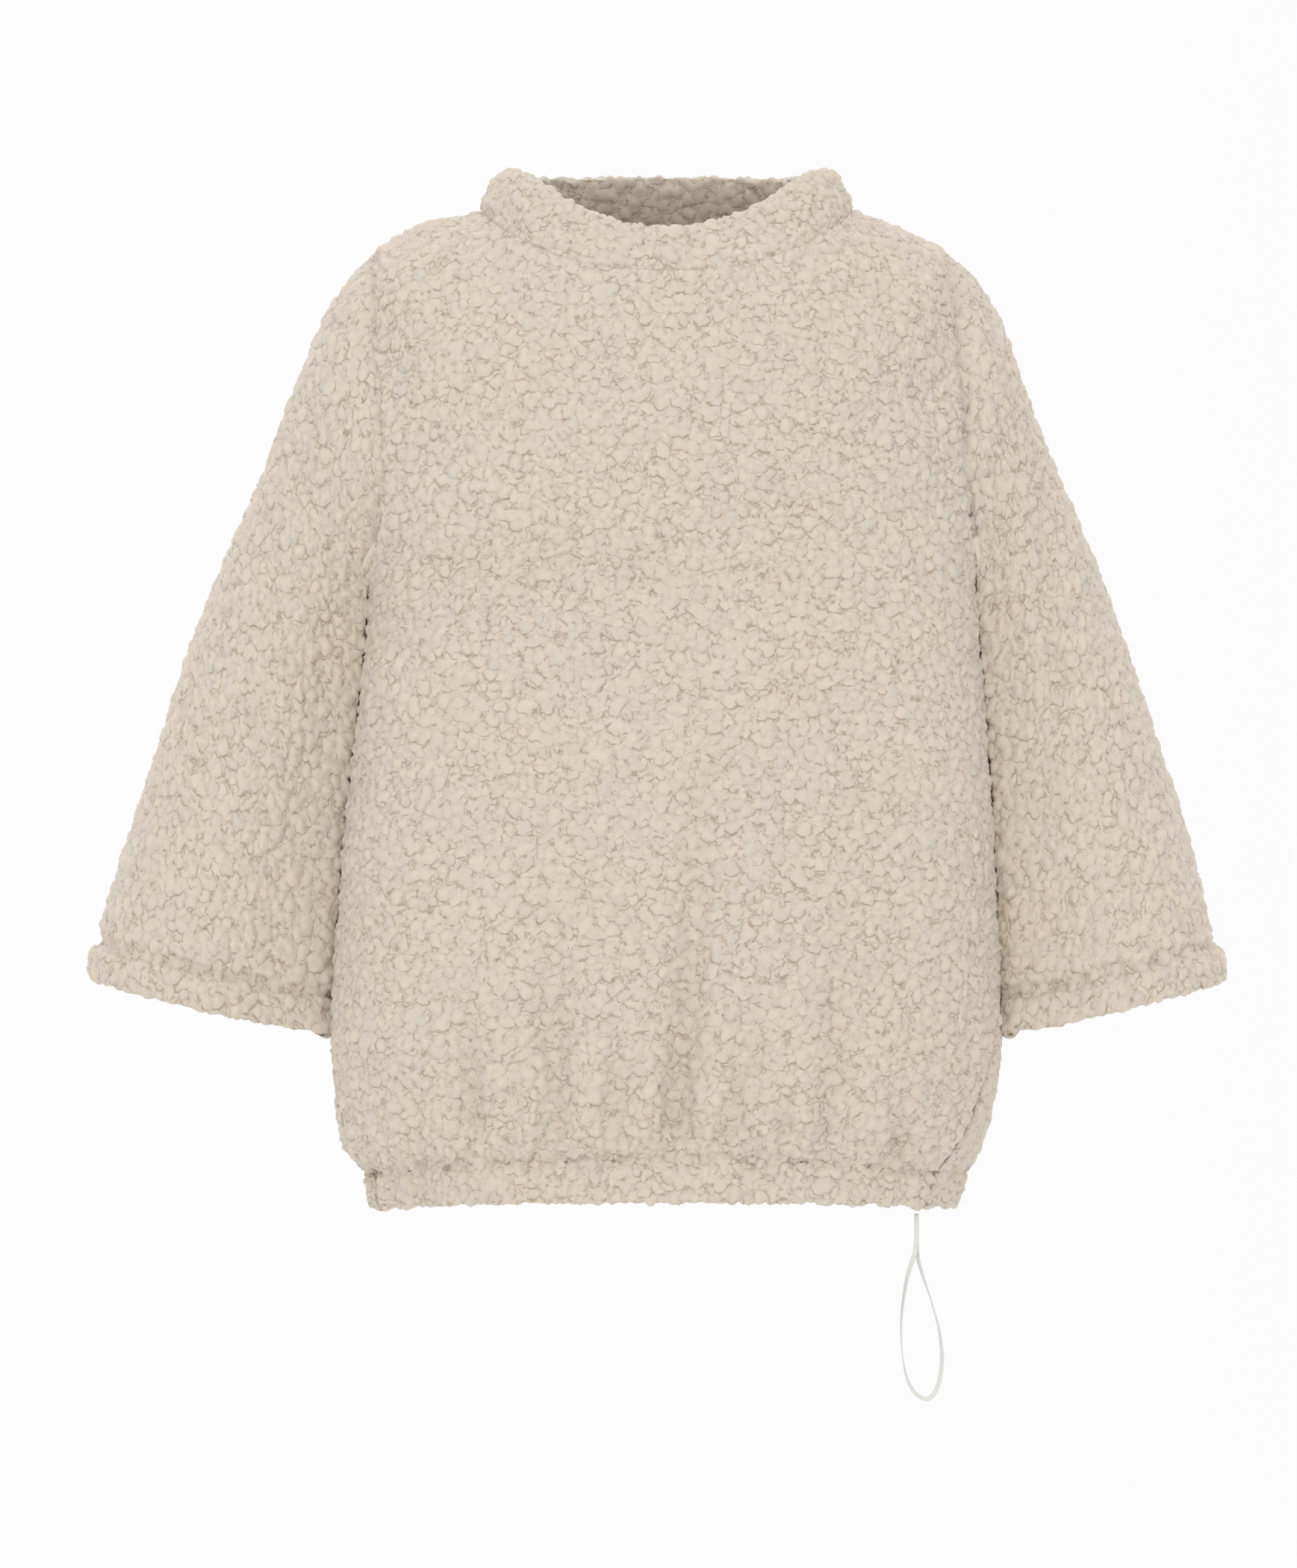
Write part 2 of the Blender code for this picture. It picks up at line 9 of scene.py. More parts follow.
import bmesh
import bpy
import numpy as np
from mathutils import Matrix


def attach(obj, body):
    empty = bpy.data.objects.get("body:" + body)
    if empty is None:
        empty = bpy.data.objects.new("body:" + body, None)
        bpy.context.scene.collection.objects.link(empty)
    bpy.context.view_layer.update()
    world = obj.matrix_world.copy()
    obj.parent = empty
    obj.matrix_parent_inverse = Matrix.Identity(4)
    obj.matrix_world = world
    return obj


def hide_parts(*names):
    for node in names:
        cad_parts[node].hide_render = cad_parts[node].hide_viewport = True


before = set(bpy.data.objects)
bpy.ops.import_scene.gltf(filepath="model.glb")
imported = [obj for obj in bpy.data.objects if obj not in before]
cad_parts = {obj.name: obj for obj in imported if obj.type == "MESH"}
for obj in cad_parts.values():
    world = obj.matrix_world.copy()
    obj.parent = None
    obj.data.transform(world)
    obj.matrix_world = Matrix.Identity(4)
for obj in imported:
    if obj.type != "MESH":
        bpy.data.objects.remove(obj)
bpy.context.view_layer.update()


# The camera stands level and square to the front, far enough off that the sleeves hardly turn
# away, as in a product picture.
CAMERA_PLACE = (-0.012, -4.0, -0.3825)
PICTURE_HEIGHT = 1.05
SENSOR_HEIGHT = 36.0

camera_data = bpy.data.cameras.new("camera")
camera_data.sensor_width = SENSOR_HEIGHT
camera_data.lens = SENSOR_HEIGHT * abs(CAMERA_PLACE[1]) / PICTURE_HEIGHT
camera = bpy.data.objects.new("camera", camera_data)
camera.location = CAMERA_PLACE
camera.rotation_euler = (math.pi / 2, 0.0, 0.0)
bpy.context.scene.collection.objects.link(camera)
bpy.context.scene.camera = camera


# The front and the back are one panel of curl pile knit each, cut wide and straight, and sewn
# together at the shoulders and the sides. Each is turned in at its lower edge as a casing, and
# the elastic in the casing draws the hem in, so that the body blouses out above it.
CLOTH_WALL = 0.0065
SEAM_SINK = 0.0009
SEAM_SINK_WIDTH = 0.0030
SEAM_BEAD = 0.0016
SEAM_BEAD_RISE = 0.006
SEAM_BEAD_END = 0.007
SEAM_BEAD_FALL = 0.012
SEAM_START = 0.06
GATHER_REACH = 0.060
GATHER_DEPTH = 0.0016
NECK_FILL = 0.0016
NECK_FILL_REACH = 0.012
CASING_PUFF = 0.0034
CASING_PUFF_REACH = 0.0085
CASING_PUFF_VARIES = 0.2
CURL_ROOM = 0.0014

# Each row is a section of the outer surface: its reach to each side, and how much lower than its
# height it lies at the front and the back. A row names its wall only if it isn't CLOTH_WALL.
BodySection = namedtuple("BodySection", "height right left front back front_drop back_drop wall",
                         defaults=[CLOTH_WALL])
BODY_SECTIONS = [BodySection(*row) for row in (
    (0.0000, 0.1250, 0.1250, 0.100, 0.085, 0.0470, 0.0080),
    (-0.0060, 0.1610, 0.1470, 0.111, 0.099, 0.0720, 0.0300),
    (-0.0145, 0.1780, 0.1650, 0.118, 0.107, 0.0930, 0.0590),
    (-0.0260, 0.1950, 0.1860, 0.122, 0.112, 0.1050, 0.0800),
    (-0.0700, 0.2065, 0.2020, 0.128, 0.117, 0.0950, 0.0850),
    (-0.1300, 0.2090, 0.2110, 0.131, 0.119, 0.0700, 0.0650),
    (-0.1950, 0.2040, 0.2110, 0.133, 0.119, 0.0350, 0.0330),
    (-0.2550, 0.2020, 0.2105, 0.134, 0.119, 0.0050, 0.0050),
    (-0.3400, 0.2075, 0.2155, 0.137, 0.120, 0.0000, 0.0000),
    (-0.4125, 0.2160, 0.2195, 0.139, 0.122, 0.0000, 0.0000),
    (-0.4875, 0.2210, 0.2225, 0.141, 0.124, 0.0000, 0.0000),
    (-0.5500, 0.2235, 0.2235, 0.141, 0.124, -0.0020, 0.0000),
    (-0.6000, 0.2205, 0.2180, 0.139, 0.122, -0.0060, -0.0020),
    (-0.6225, 0.2165, 0.2110, 0.135, 0.118, -0.0100, -0.0040),
    (-0.6340, 0.2070, 0.2045, 0.130, 0.112, -0.0130, -0.0060, 0.0080),
    (-0.6415, 0.1985, 0.1975, 0.125, 0.106, -0.0165, -0.0070, 0.0100),
    (-0.6500, 0.2005, 0.1980, 0.128, 0.110, -0.0145, -0.0060, 0.0130),
    (-0.6600, 0.2005, 0.1965, 0.128, 0.110, -0.0110, -0.0050, 0.0130),
    (-0.6680, 0.1950, 0.1900, 0.123, 0.105, -0.0090, -0.0040, 0.0100),
)]
SQUARENESS = 2.4
SQUARENESS_BELOW = 0.55
ROUNDER_BELOW_NECK = 0.15
ROUNDER_ABOVE_HEM = 0.08
DROP_POWER = 1.7
SHOULDER_TIP = BODY_SECTIONS[3].height
UNDERARM = BODY_SECTIONS[7].height
STITCH_HEIGHT = BODY_SECTIONS[15].height
HEM_HEIGHT = BODY_SECTIONS[-1].height
ARMHOLE_MIDDLE = (SHOULDER_TIP + UNDERARM) / 2
ARMHOLE_REACH = (SHOULDER_TIP - UNDERARM) / 2
ARMHOLE_TURN_RIGHT = 31
ARMHOLE_TURN_LEFT = 26
ARMHOLE_SOFT_START = 0.35
ARMHOLE_SOFT_SPAN = 0.9
SEAM_TURN_RIGHT = 18
SEAM_TURN_LEFT = 32
SEAM_TURN_START = -0.42

# The outer face is a fine grid. The knit inside has one quad to every five by five outer ones.
# Lines are sampled finely, and the grid's points are then spread evenly along them.
COARSE = 5
PANEL_COLUMNS = 290
PANEL_ROWS = 300
LINE_SAMPLES = 2000
ROW_SAMPLES = 1500
ROLL_ROWS = 10
TURN_UP_ROWS = 15
EDGE_SHARE = 0.08
ROLL_HEIGHT = -0.6615
ROLL_RADIUS = 0.0065


def eased(share):
    share = np.clip(share, 0.0, 1.0)
    return share * share * (3 - 2 * share)


def signed_power(values, power):
    return np.sign(values) * np.abs(values) ** power


def unit_vectors(vectors):
    return vectors / np.maximum(np.linalg.norm(vectors, axis=-1, keepdims=True), 1e-12)


def slopes_without_overshoot(places, values):
    """Slope at each table row, kept flat at a peak so that the curve never overshoots its rows."""
    steps = np.diff(places)
    rises = np.diff(values) / steps
    slopes = np.zeros(len(values))
    slopes[0] = rises[0]
    slopes[-1] = rises[-1]
    for row in range(1, len(values) - 1):
        before = rises[row - 1]
        after = rises[row]
        if before * after > 0:
            weight_before = 2 * steps[row] + steps[row - 1]
            weight_after = steps[row] + 2 * steps[row - 1]
            weighted = weight_before / before + weight_after / after
            slopes[row] = (weight_before + weight_after) / weighted
    return slopes


class TableCurves:
    """Smooth curves through the columns of a table, read at any places along its rows."""

    def __init__(self, rows, places):
        self.places = np.array(places, float)
        self.columns = {}
        for name in rows[0]._fields:
            values = np.array([getattr(row, name) for row in rows], float)
            self.columns[name] = (values, slopes_without_overshoot(self.places, values))

    def read(self, name, place):
        values, slopes = self.columns[name]
        row = np.clip(np.searchsorted(self.places, place) - 1, 0, len(self.places) - 2)
        step = self.places[row + 1] - self.places[row]
        share = (place - self.places[row]) / step
        share_left = 1.0 - share
        return (values[row] * (1 + 2 * share) * share_left ** 2
                + slopes[row] * step * share * share_left ** 2
                + values[row + 1] * share ** 2 * (3 - 2 * share)
                - slopes[row + 1] * step * share ** 2 * share_left)


BODY = TableCurves(BODY_SECTIONS, [-section.height for section in BODY_SECTIONS])


def body_squareness(height):
    """The body's sections are rounder at the neck and at the drawn hem than between them."""
    below_neck = eased(-height / ROUNDER_BELOW_NECK)
    above_hem = eased((height - HEM_HEIGHT) / ROUNDER_ABOVE_HEM)
    return SQUARENESS + SQUARENESS_BELOW * below_neck * above_hem


def body_point(turn, height):
    """Outer surface of the body. turn 0 is the wearer's left side, a quarter turn the front."""
    turn, height = np.broadcast_arrays(np.asarray(turn, float), np.asarray(height, float))
    squareness = body_squareness(height)
    across = signed_power(np.cos(turn), 2 / squareness)
    forwards = signed_power(np.sin(turn), 2 / squareness)
    half_width = np.where(across > 0, BODY.read("left", -height), BODY.read("right", -height))
    depth = np.where(forwards > 0, BODY.read("front", -height), BODY.read("back", -height))
    drop = np.where(forwards > 0, BODY.read("front_drop", -height), BODY.read("back_drop", -height))
    return np.stack([half_width * across, -depth * forwards,
                     height - drop * np.abs(np.sin(turn)) ** DROP_POWER], axis=-1)


def body_normal(turn, height):
    """Normals of the body's outer surface, which point out of the garment."""
    turn_step = 0.02
    height_step = 0.0008
    low = np.maximum(height - height_step, HEM_HEIGHT)
    high = np.minimum(height + height_step, 0.0)
    along_turn = body_point(turn + turn_step, height) - body_point(turn - turn_step, height)
    along_height = body_point(turn, high) - body_point(turn, low)
    normal = unit_vectors(np.cross(along_height, along_turn))
    slightly_up = 0.15
    outwards = (np.cos(turn) * normal[..., 0] - np.sin(turn) * normal[..., 1]
                + slightly_up * normal[..., 2])
    return normal * np.where(outwards > 0, 1.0, -1.0)[..., None]


# Folds and creases run between two points of a piece, seen square on, and sink inwards. They
# grow towards their lower end and fade out just past it. The drawn hem makes most of them.
FOLD_TAIL = 0.032
Fold = namedtuple("Fold", "piece x_top z_top x_bottom z_bottom half_width depth")
FOLDS = [Fold(*row) for row in (
    ("front", 0.034, -0.275, 0.006, -0.601, 0.016, 0.0150),
    ("front", -0.071, -0.420, -0.074, -0.601, 0.014, 0.0115),
    ("front", -0.138, -0.490, -0.126, -0.601, 0.014, 0.0110),
    ("front", 0.064, -0.500, 0.042, -0.601, 0.012, 0.0080),
    ("front", 0.120, -0.400, 0.106, -0.601, 0.014, 0.0090),
    ("front", -0.030, -0.520, -0.034, -0.601, 0.012, 0.0070),
    ("front", -0.100, -0.545, -0.101, -0.606, 0.010, 0.0045),
    ("front", 0.083, -0.550, 0.077, -0.606, 0.010, 0.0045),
    ("front", -0.168, -0.560, -0.164, -0.608, 0.013, 0.0055),
    ("front", 0.158, -0.560, 0.152, -0.621, 0.012, 0.0080),
    ("front", -0.060, -0.150, -0.180, -0.290, 0.030, 0.0035),
    ("front", 0.119, -0.100, 0.146, -0.530, 0.034, 0.0035),
    ("back", -0.052, -0.300, -0.038, -0.608, 0.020, 0.0100),
    ("back", 0.078, -0.400, 0.066, -0.608, 0.018, 0.0090),
    ("back", 0.020, -0.500, 0.016, -0.608, 0.014, 0.0060),
    ("back", -0.105, -0.470, -0.098, -0.608, 0.016, 0.0075),
    ("back", 0.132, -0.520, 0.122, -0.608, 0.016, 0.0075),
    ("back", -0.158, -0.540, -0.150, -0.612, 0.014, 0.0065),
    ("back", 0.046, -0.560, 0.044, -0.612, 0.010, 0.0045),
    ("sleeve_left", 0.2460, -0.120, 0.2560, -0.300, 0.012, 0.0055),
    ("sleeve_right", -0.2650, -0.165, -0.2700, -0.350, 0.014, 0.0045),
)]


def fold_depth(piece, points):
    """How far the folds of a piece push these points of its surface inwards."""
    depth = np.zeros(points.shape[:-1])
    for fold in FOLDS:
        if fold.piece != piece:
            continue
        run_x = fold.x_bottom - fold.x_top
        run_z = fold.z_bottom - fold.z_top
        length = math.hypot(run_x, run_z)
        offset_x = points[..., 0] - fold.x_top
        offset_z = points[..., 2] - fold.z_top
        along = (offset_x * run_x + offset_z * run_z) / length ** 2
        aside = (offset_x * run_z - offset_z * run_x) / length
        beyond = np.maximum(along - 1.0, 0.0) * length
        growth = eased(along) * eased(1 - beyond / FOLD_TAIL)
        depth += fold.depth * growth * np.exp(-2 * (aside / fold.half_width) ** 2)
    return depth


def seam_turn(height, degrees):
    """How far the drawn hem pulls a side seam round to the front."""
    share = eased((SEAM_TURN_START - height) / (SEAM_TURN_START - HEM_HEIGHT))
    return math.radians(degrees) * share


def armhole_turn(height, degrees):
    """Half the opening of the armhole, an ellipse, at a height."""
    share = (height - ARMHOLE_MIDDLE) / ARMHOLE_REACH
    return math.radians(degrees) * np.sqrt(np.maximum(1 - share ** 2, 0.0))


def armhole_turn_softened(height, degrees):
    """The armhole with long soft ends, which the columns further in the panel follow."""
    share = abs(height - ARMHOLE_MIDDLE) / ARMHOLE_REACH
    return math.radians(degrees) * (1 - eased((share - ARMHOLE_SOFT_START) / ARMHOLE_SOFT_SPAN))


def panel_edges(piece, height, armhole):
    """The turns where a panel starts, on the wearer's left, and ends, on the wearer's right."""
    hole_left = armhole(height, ARMHOLE_TURN_LEFT)
    hole_right = armhole(height, ARMHOLE_TURN_RIGHT)
    twist_left = seam_turn(height, SEAM_TURN_LEFT)
    twist_right = seam_turn(height, SEAM_TURN_RIGHT)
    if piece == "front":
        return hole_left + twist_left, math.pi - hole_right - twist_right
    return twist_left - hole_left, -math.pi + hole_right - twist_right


def run_lengths(points):
    """Distance covered up to each point of a line of points."""
    steps = np.linalg.norm(np.diff(points, axis=0), axis=-1)
    return np.concatenate([[0.0], np.cumsum(steps)])


def evenly_spread(values, points, count):
    """count + 1 of the values, picked so that their points lie evenly along their line."""
    lengths = run_lengths(points)
    return np.interp(np.linspace(0.0, lengths[-1], count + 1), lengths, values)


def grid_normals(grid, wrapped):
    """Normals of a grid of points from its neighbours. Their side is settled by the caller."""
    down = np.gradient(grid, axis=0)
    if wrapped:
        across = np.roll(grid, -1, axis=1) - np.roll(grid, 1, axis=1)
    else:
        across = np.gradient(grid, axis=1)
    return unit_vectors(np.cross(down, across))


def seam_relief(distance):
    """How far the cloth stands out at this distance from a seam: sunk at it, then a soft bead."""
    sunk = SEAM_SINK * (1 - eased(distance / SEAM_SINK_WIDTH))
    rise = eased(distance / SEAM_BEAD_RISE)
    fall = 1 - eased((distance - SEAM_BEAD_END) / SEAM_BEAD_FALL)
    return SEAM_BEAD * rise * fall - sunk


# Gathered cloth ripples along its stitches. The space between the ripples wanders, so that no
# two of them are alike. Lengths are metres for each radian of the wave.
Ripple = namedtuple("Ripple", "length wander wander_length start")
SLOW_RIPPLE = Ripple(0.0051, 2.2, 0.031, 0.0)
QUICK_RIPPLE = Ripple(0.0029, 1.9, 0.019, 1.0)
SLOW_SHARE = 0.65


def rippled(ripple, distance):
    wandering = ripple.wander * np.sin(distance / ripple.wander_length)
    return np.sin(distance / ripple.length + wandering + ripple.start)


def gather_relief(distance, heights):
    """Ripples along the drawn casing, which die out above it, and the casing's own swelling."""
    fade = eased((STITCH_HEIGHT + GATHER_REACH - heights) / GATHER_REACH)
    quick = rippled(QUICK_RIPPLE, distance)
    ripples = SLOW_SHARE * rippled(SLOW_RIPPLE, distance) + (1 - SLOW_SHARE) * quick
    puff = CASING_PUFF * np.exp(-((heights - STITCH_HEIGHT) / CASING_PUFF_REACH) ** 2)
    uneven = 1 - CASING_PUFF_VARIES + CASING_PUFF_VARIES * quick
    return GATHER_DEPTH * fade * ripples + puff * uneven


def turned_hem(points, normals, hem_rows):
    """A piece's points with its lower edge turned in: round a roll, then up by hem_rows inside."""
    last_row = len(points) - 1
    tangents = unit_vectors(points[-1] - points[-3])
    middle = points[-1] - normals[-1] * ROLL_RADIUS
    turned = []
    for step in range(1, ROLL_ROWS + 1):
        angle = math.pi * step / ROLL_ROWS
        away = normals[-1] * math.cos(angle) + tangents * math.sin(angle)
        turned.append(middle + ROLL_RADIUS * away)
    inside = points - normals * 2 * ROLL_RADIUS
    for step in range(1, TURN_UP_ROWS + 1):
        row = last_row - hem_rows * step / TURN_UP_ROWS
        upper = int(row)
        share = row - upper
        lower = min(upper + 1, last_row)
        turned.append(inside[upper] * (1 - share) + inside[lower] * share)
    return np.concatenate([points, np.array(turned)])


def outward_normals(grid, wrapped, facing_row):
    """Normals of a piece's grid that point out of the garment on its outer face."""
    out = grid_normals(grid, wrapped)
    probed_row = facing_row // 4
    from_middle = grid[probed_row] - grid[probed_row].mean(axis=0)
    return -out if (out[probed_row] * from_middle).sum() < 0 else out


def make_cloth(name, corners, faces, pile, out, squeeze):
    """The mesh of a cloth piece, with what the curls need to know at each corner."""
    data = bpy.data.meshes.new(name)
    data.from_pydata(corners.tolist(), [], faces)
    mesh = bmesh.new()
    mesh.from_mesh(data)
    bmesh.ops.recalc_face_normals(mesh, faces=mesh.faces)
    mesh.to_mesh(data)
    mesh.free()
    data.shade_smooth()
    add_values(data, "pile", "FLOAT", pile)
    add_values(data, "out", "FLOAT_VECTOR", out)
    add_values(data, "rest", "FLOAT_VECTOR", corners * np.array(squeeze))
    cloth = bpy.data.objects.new(name, data)
    bpy.context.scene.collection.objects.link(cloth)
    return cloth


def make_shell(name, outer, walls, facing_row, wrapped, squeeze):
    """A closed cloth wall: fine pile outside, coarse knit inside, and its cut edges."""
    rows, columns = outer.shape[:2]
    out = outward_normals(outer, wrapped, facing_row)
    base = outer - out * CURL_ROOM
    inner = (outer - out * walls[:, None, None])[0:facing_row + 1:COARSE, ::COARSE]
    inner_rows, inner_columns = inner.shape[:2]
    corners = np.concatenate([base.reshape(-1, 3), inner.reshape(-1, 3)])
    first_inner = rows * columns

    def fine(row, column):
        return row * columns + column % columns

    def coarse(row, column):
        return first_inner + row * inner_columns + column % inner_columns

    faces = []
    for row in range(rows - 1):
        for column in range(columns if wrapped else columns - 1):
            faces.append((fine(row, column), fine(row + 1, column),
                          fine(row + 1, column + 1), fine(row, column + 1)))
    spans = inner_columns if wrapped else inner_columns - 1
    for row in range(inner_rows - 1):
        for column in range(spans):
            faces.append((coarse(row, column), coarse(row, column + 1),
                          coarse(row + 1, column + 1), coarse(row + 1, column)))
    for fine_row, coarse_row in ((0, 0), (rows - 1, inner_rows - 1)):
        for column in range(spans):
            start = column * COARSE
            edge = [fine(fine_row, start + step) for step in range(COARSE + 1)]
            faces.append((*edge, coarse(coarse_row, column + 1), coarse(coarse_row, column)))
    if not wrapped:
        for fine_column, coarse_column in ((0, 0), (columns - 1, inner_columns - 1)):
            for row in range(inner_rows - 1):
                edge = [fine(row * COARSE + step, fine_column) for step in range(COARSE + 1)]
                faces.append((*edge, coarse(row + 1, coarse_column), coarse(row, coarse_column)))
            roll = [fine(row, fine_column) for row in range(facing_row, rows)]
            faces.append((*roll, coarse(inner_rows - 1, coarse_column)))
    inner_count = len(corners) - first_inner
    pile = np.concatenate([np.ones(first_inner), np.zeros(inner_count)])
    directions = np.concatenate([out.reshape(-1, 3), np.zeros((inner_count, 3))])
    return make_cloth(name, corners, faces, pile, directions, squeeze)


def add_values(data, name, kind, values):
    attribute = data.attributes.new(name, kind, "POINT")
    field = "vector" if kind == "FLOAT_VECTOR" else "value"
    attribute.data.foreach_set(field, np.asarray(values, np.float32).ravel())


def panel_turns(piece, heights):
    """The turn of each column at each height. Only the columns by an armhole follow its curve."""
    share = np.linspace(0.0, 1.0, PANEL_COLUMNS + 1)
    near_first = (1 - np.minimum(share / EDGE_SHARE, 1.0)) ** 2
    near_last = near_first[::-1]
    rows = []
    for height in heights:
        first, last = panel_edges(piece, height, armhole_turn)
        first_soft, last_soft = panel_edges(piece, height, armhole_turn_softened)
        turns = np.linspace(first_soft, last_soft, ROW_SAMPLES)
        turns = evenly_spread(turns, body_point(turns, height), PANEL_COLUMNS)
        rows.append(turns + (first - first_soft) * near_first + (last - last_soft) * near_last)
    return np.array(rows)


def panel_grid(piece):
    """Outer points of the front or back, down to the hem, round it and up behind the casing."""
    heights = np.linspace(0.0, ROLL_HEIGHT, LINE_SAMPLES)
    slanting = np.full_like(heights, math.pi / 4 if piece == "front" else -math.pi / 4)
    heights = evenly_spread(heights, body_point(slanting, heights), PANEL_ROWS)
    turns = panel_turns(piece, heights)
    points = body_point(turns, heights[:, None])
    normals = body_normal(turns, heights[:, None] + np.zeros_like(turns))
    aside = np.array([run_lengths(row) for row in points])
    down = np.array([run_lengths(column) for column in points.swapaxes(0, 1)]).T
    below_shoulder = eased((SHOULDER_TIP - heights) / SEAM_START)[:, None]
    neck_fill = NECK_FILL * (1 - eased(down / NECK_FILL_REACH))
    out = seam_relief(np.minimum(aside, aside[:, -1:] - aside)) * below_shoulder
    out += neck_fill + gather_relief(aside, heights[:, None]) - fold_depth(piece, points)
    points = points + normals * out[..., None]
    casing_rows = int(np.sum(heights < STITCH_HEIGHT))
    outer = turned_hem(points, normals, casing_rows)
    facing_row = (PANEL_ROWS - casing_rows) // COARSE * COARSE
    wall_heights = np.concatenate([heights, np.full(len(outer) - len(heights), ROLL_HEIGHT)])
    return outer, BODY.read("wall", -wall_heights), facing_row


# The pile is spun into curls that lie over each other like drooping pebbles. Two layers of round
# curls lie on a closed ground of smaller ones, and short warm lines of painted shadow lie under
# their lower edges.
class Wire:
    """One value in a node tree. Sums and products of wires add the nodes that work them out."""

    def __init__(self, tree, socket):
        self.tree = tree
        self.socket = socket

    def math(self, operation, *others):
        inputs = dict(enumerate([self, *others]))
        return self.tree.add("ShaderNodeMath", {"operation": operation}, inputs)["Value"]

    def __add__(self, other):
        return self.math("ADD", other)

    def __sub__(self, other):
        return self.math("SUBTRACT", other)

    def __mul__(self, other):
        return self.math("MULTIPLY", other)

    def __truediv__(self, other):
        return self.math("DIVIDE", other)

    def __rsub__(self, other):
        return self.tree.add("ShaderNodeMath", {"operation": "SUBTRACT"}, {0: other, 1: self})["Value"]

    __radd__ = __add__
    __rmul__ = __mul__

    def clipped(self):
        return self.math("MAXIMUM", 0.0).math("MINIMUM", 1.0)

    def ramped(self, low, high):
        """0 below low, 1 above high and smooth between. low may be the higher one."""
        share = ((self - low) / (high - low)).clipped()
        return share * share * (3.0 - 2.0 * share)


class Node:
    def __init__(self, tree, node):
        self.tree = tree
        self.node = node

    def __getitem__(self, output):
        return Wire(self.tree, self.node.outputs[output])


class Tree:
    """A node tree that nodes are added to one by one."""

    def __init__(self, tree):
        self.tree = tree

    def add(self, kind, settings=None, inputs=None):
        node = self.tree.nodes.new(kind)
        for name, value in (settings or {}).items():
            setattr(node, name, value)
        for name, value in (inputs or {}).items():
            if isinstance(value, Wire):
                self.tree.links.new(value.socket, node.inputs[name])
            else:
                node.inputs[name].default_value = value
        return Node(self, node)

    def vector(self, operation, *values):
        node = self.add("ShaderNodeVectorMath", {"operation": operation}, dict(enumerate(values)))
        return node["Vector"]

    def scaled(self, vector, factor):
        node = self.add("ShaderNodeVectorMath", {"operation": "SCALE"}, {0: vector, "Scale": factor})
        return node["Vector"]

    def part(self, vector, axis):
        return self.add("ShaderNodeSeparateXYZ", {}, {0: vector})[axis]

    def noise(self, vector, scale, detail):
        return self.add("ShaderNodeTexNoise", {}, {"Vector": vector, "Scale": scale, "Detail": detail})

    def cells(self, vector, width, feature):
        return self.add("ShaderNodeTexVoronoi", {"feature": feature},
                        {"Vector": vector, "Scale": 1 / width})

    def waves(self, vector, axis, scale):
        return self.add("ShaderNodeTexWave", {"bands_direction": axis},
                        {"Vector": vector, "Scale": scale})["Fac"]

    def mixed(self, factor, first, second):
        """A colour between two others. Each is a triple or a wire."""
        first, second = (value if isinstance(value, Wire) else (*value, 1.0)
                         for value in (first, second))
        node = self.add("ShaderNodeMix", {"data_type": "RGBA"}, {0: factor, 6: first, 7: second})
        return node[2]

    def surface(self, shader, colour, relief, strength, distance):
        """Feeds a shader its colour and its relief."""
        given = {"Height": relief, "Strength": strength, "Distance": distance}
        bump = self.add("ShaderNodeBump", {}, given)
        self.tree.links.new(colour.socket, shader.inputs["Base Color"])
        self.tree.links.new(bump["Normal"].socket, shader.inputs["Normal"])


CurlLayer = namedtuple("CurlLayer", "width reach level shift")
CURL_LAYERS = [
    CurlLayer(0.0102, 0.50, 0.42, (0.0, 0.0, 0.0)),
    CurlLayer(0.0078, 0.55, 0.10, (0.31, 0.17, 0.43)),
]
GROUND_WIDTH = 0.0059
GROUND_LEVEL = -0.30
GROUND_BULGE = 0.55
GROUND_BULGE_REACH = 0.30
GROUND_SHADOW_LINE = 0.6
CURL_BULGE = 0.60
CURL_DROOP = 0.30
CURL_HEIGHT = 0.0020
BELOW_ALL = 1.2
LINE_WIDTH = 0.0007
LINE_SHARPNESS = 1.4
RIM_IN_MESH = 0.30
RIM_IN_SHADER = 0.06
SWELL_SCALE = 28.0
SWELL = 1.1

# The curls' outlines wander at two scales, by up to half the reach in metres.
Wander = namedtuple("Wander", "scale reach")
WANDERS = [Wander(110.0, 0.0075), Wander(420.0, 0.0022)]


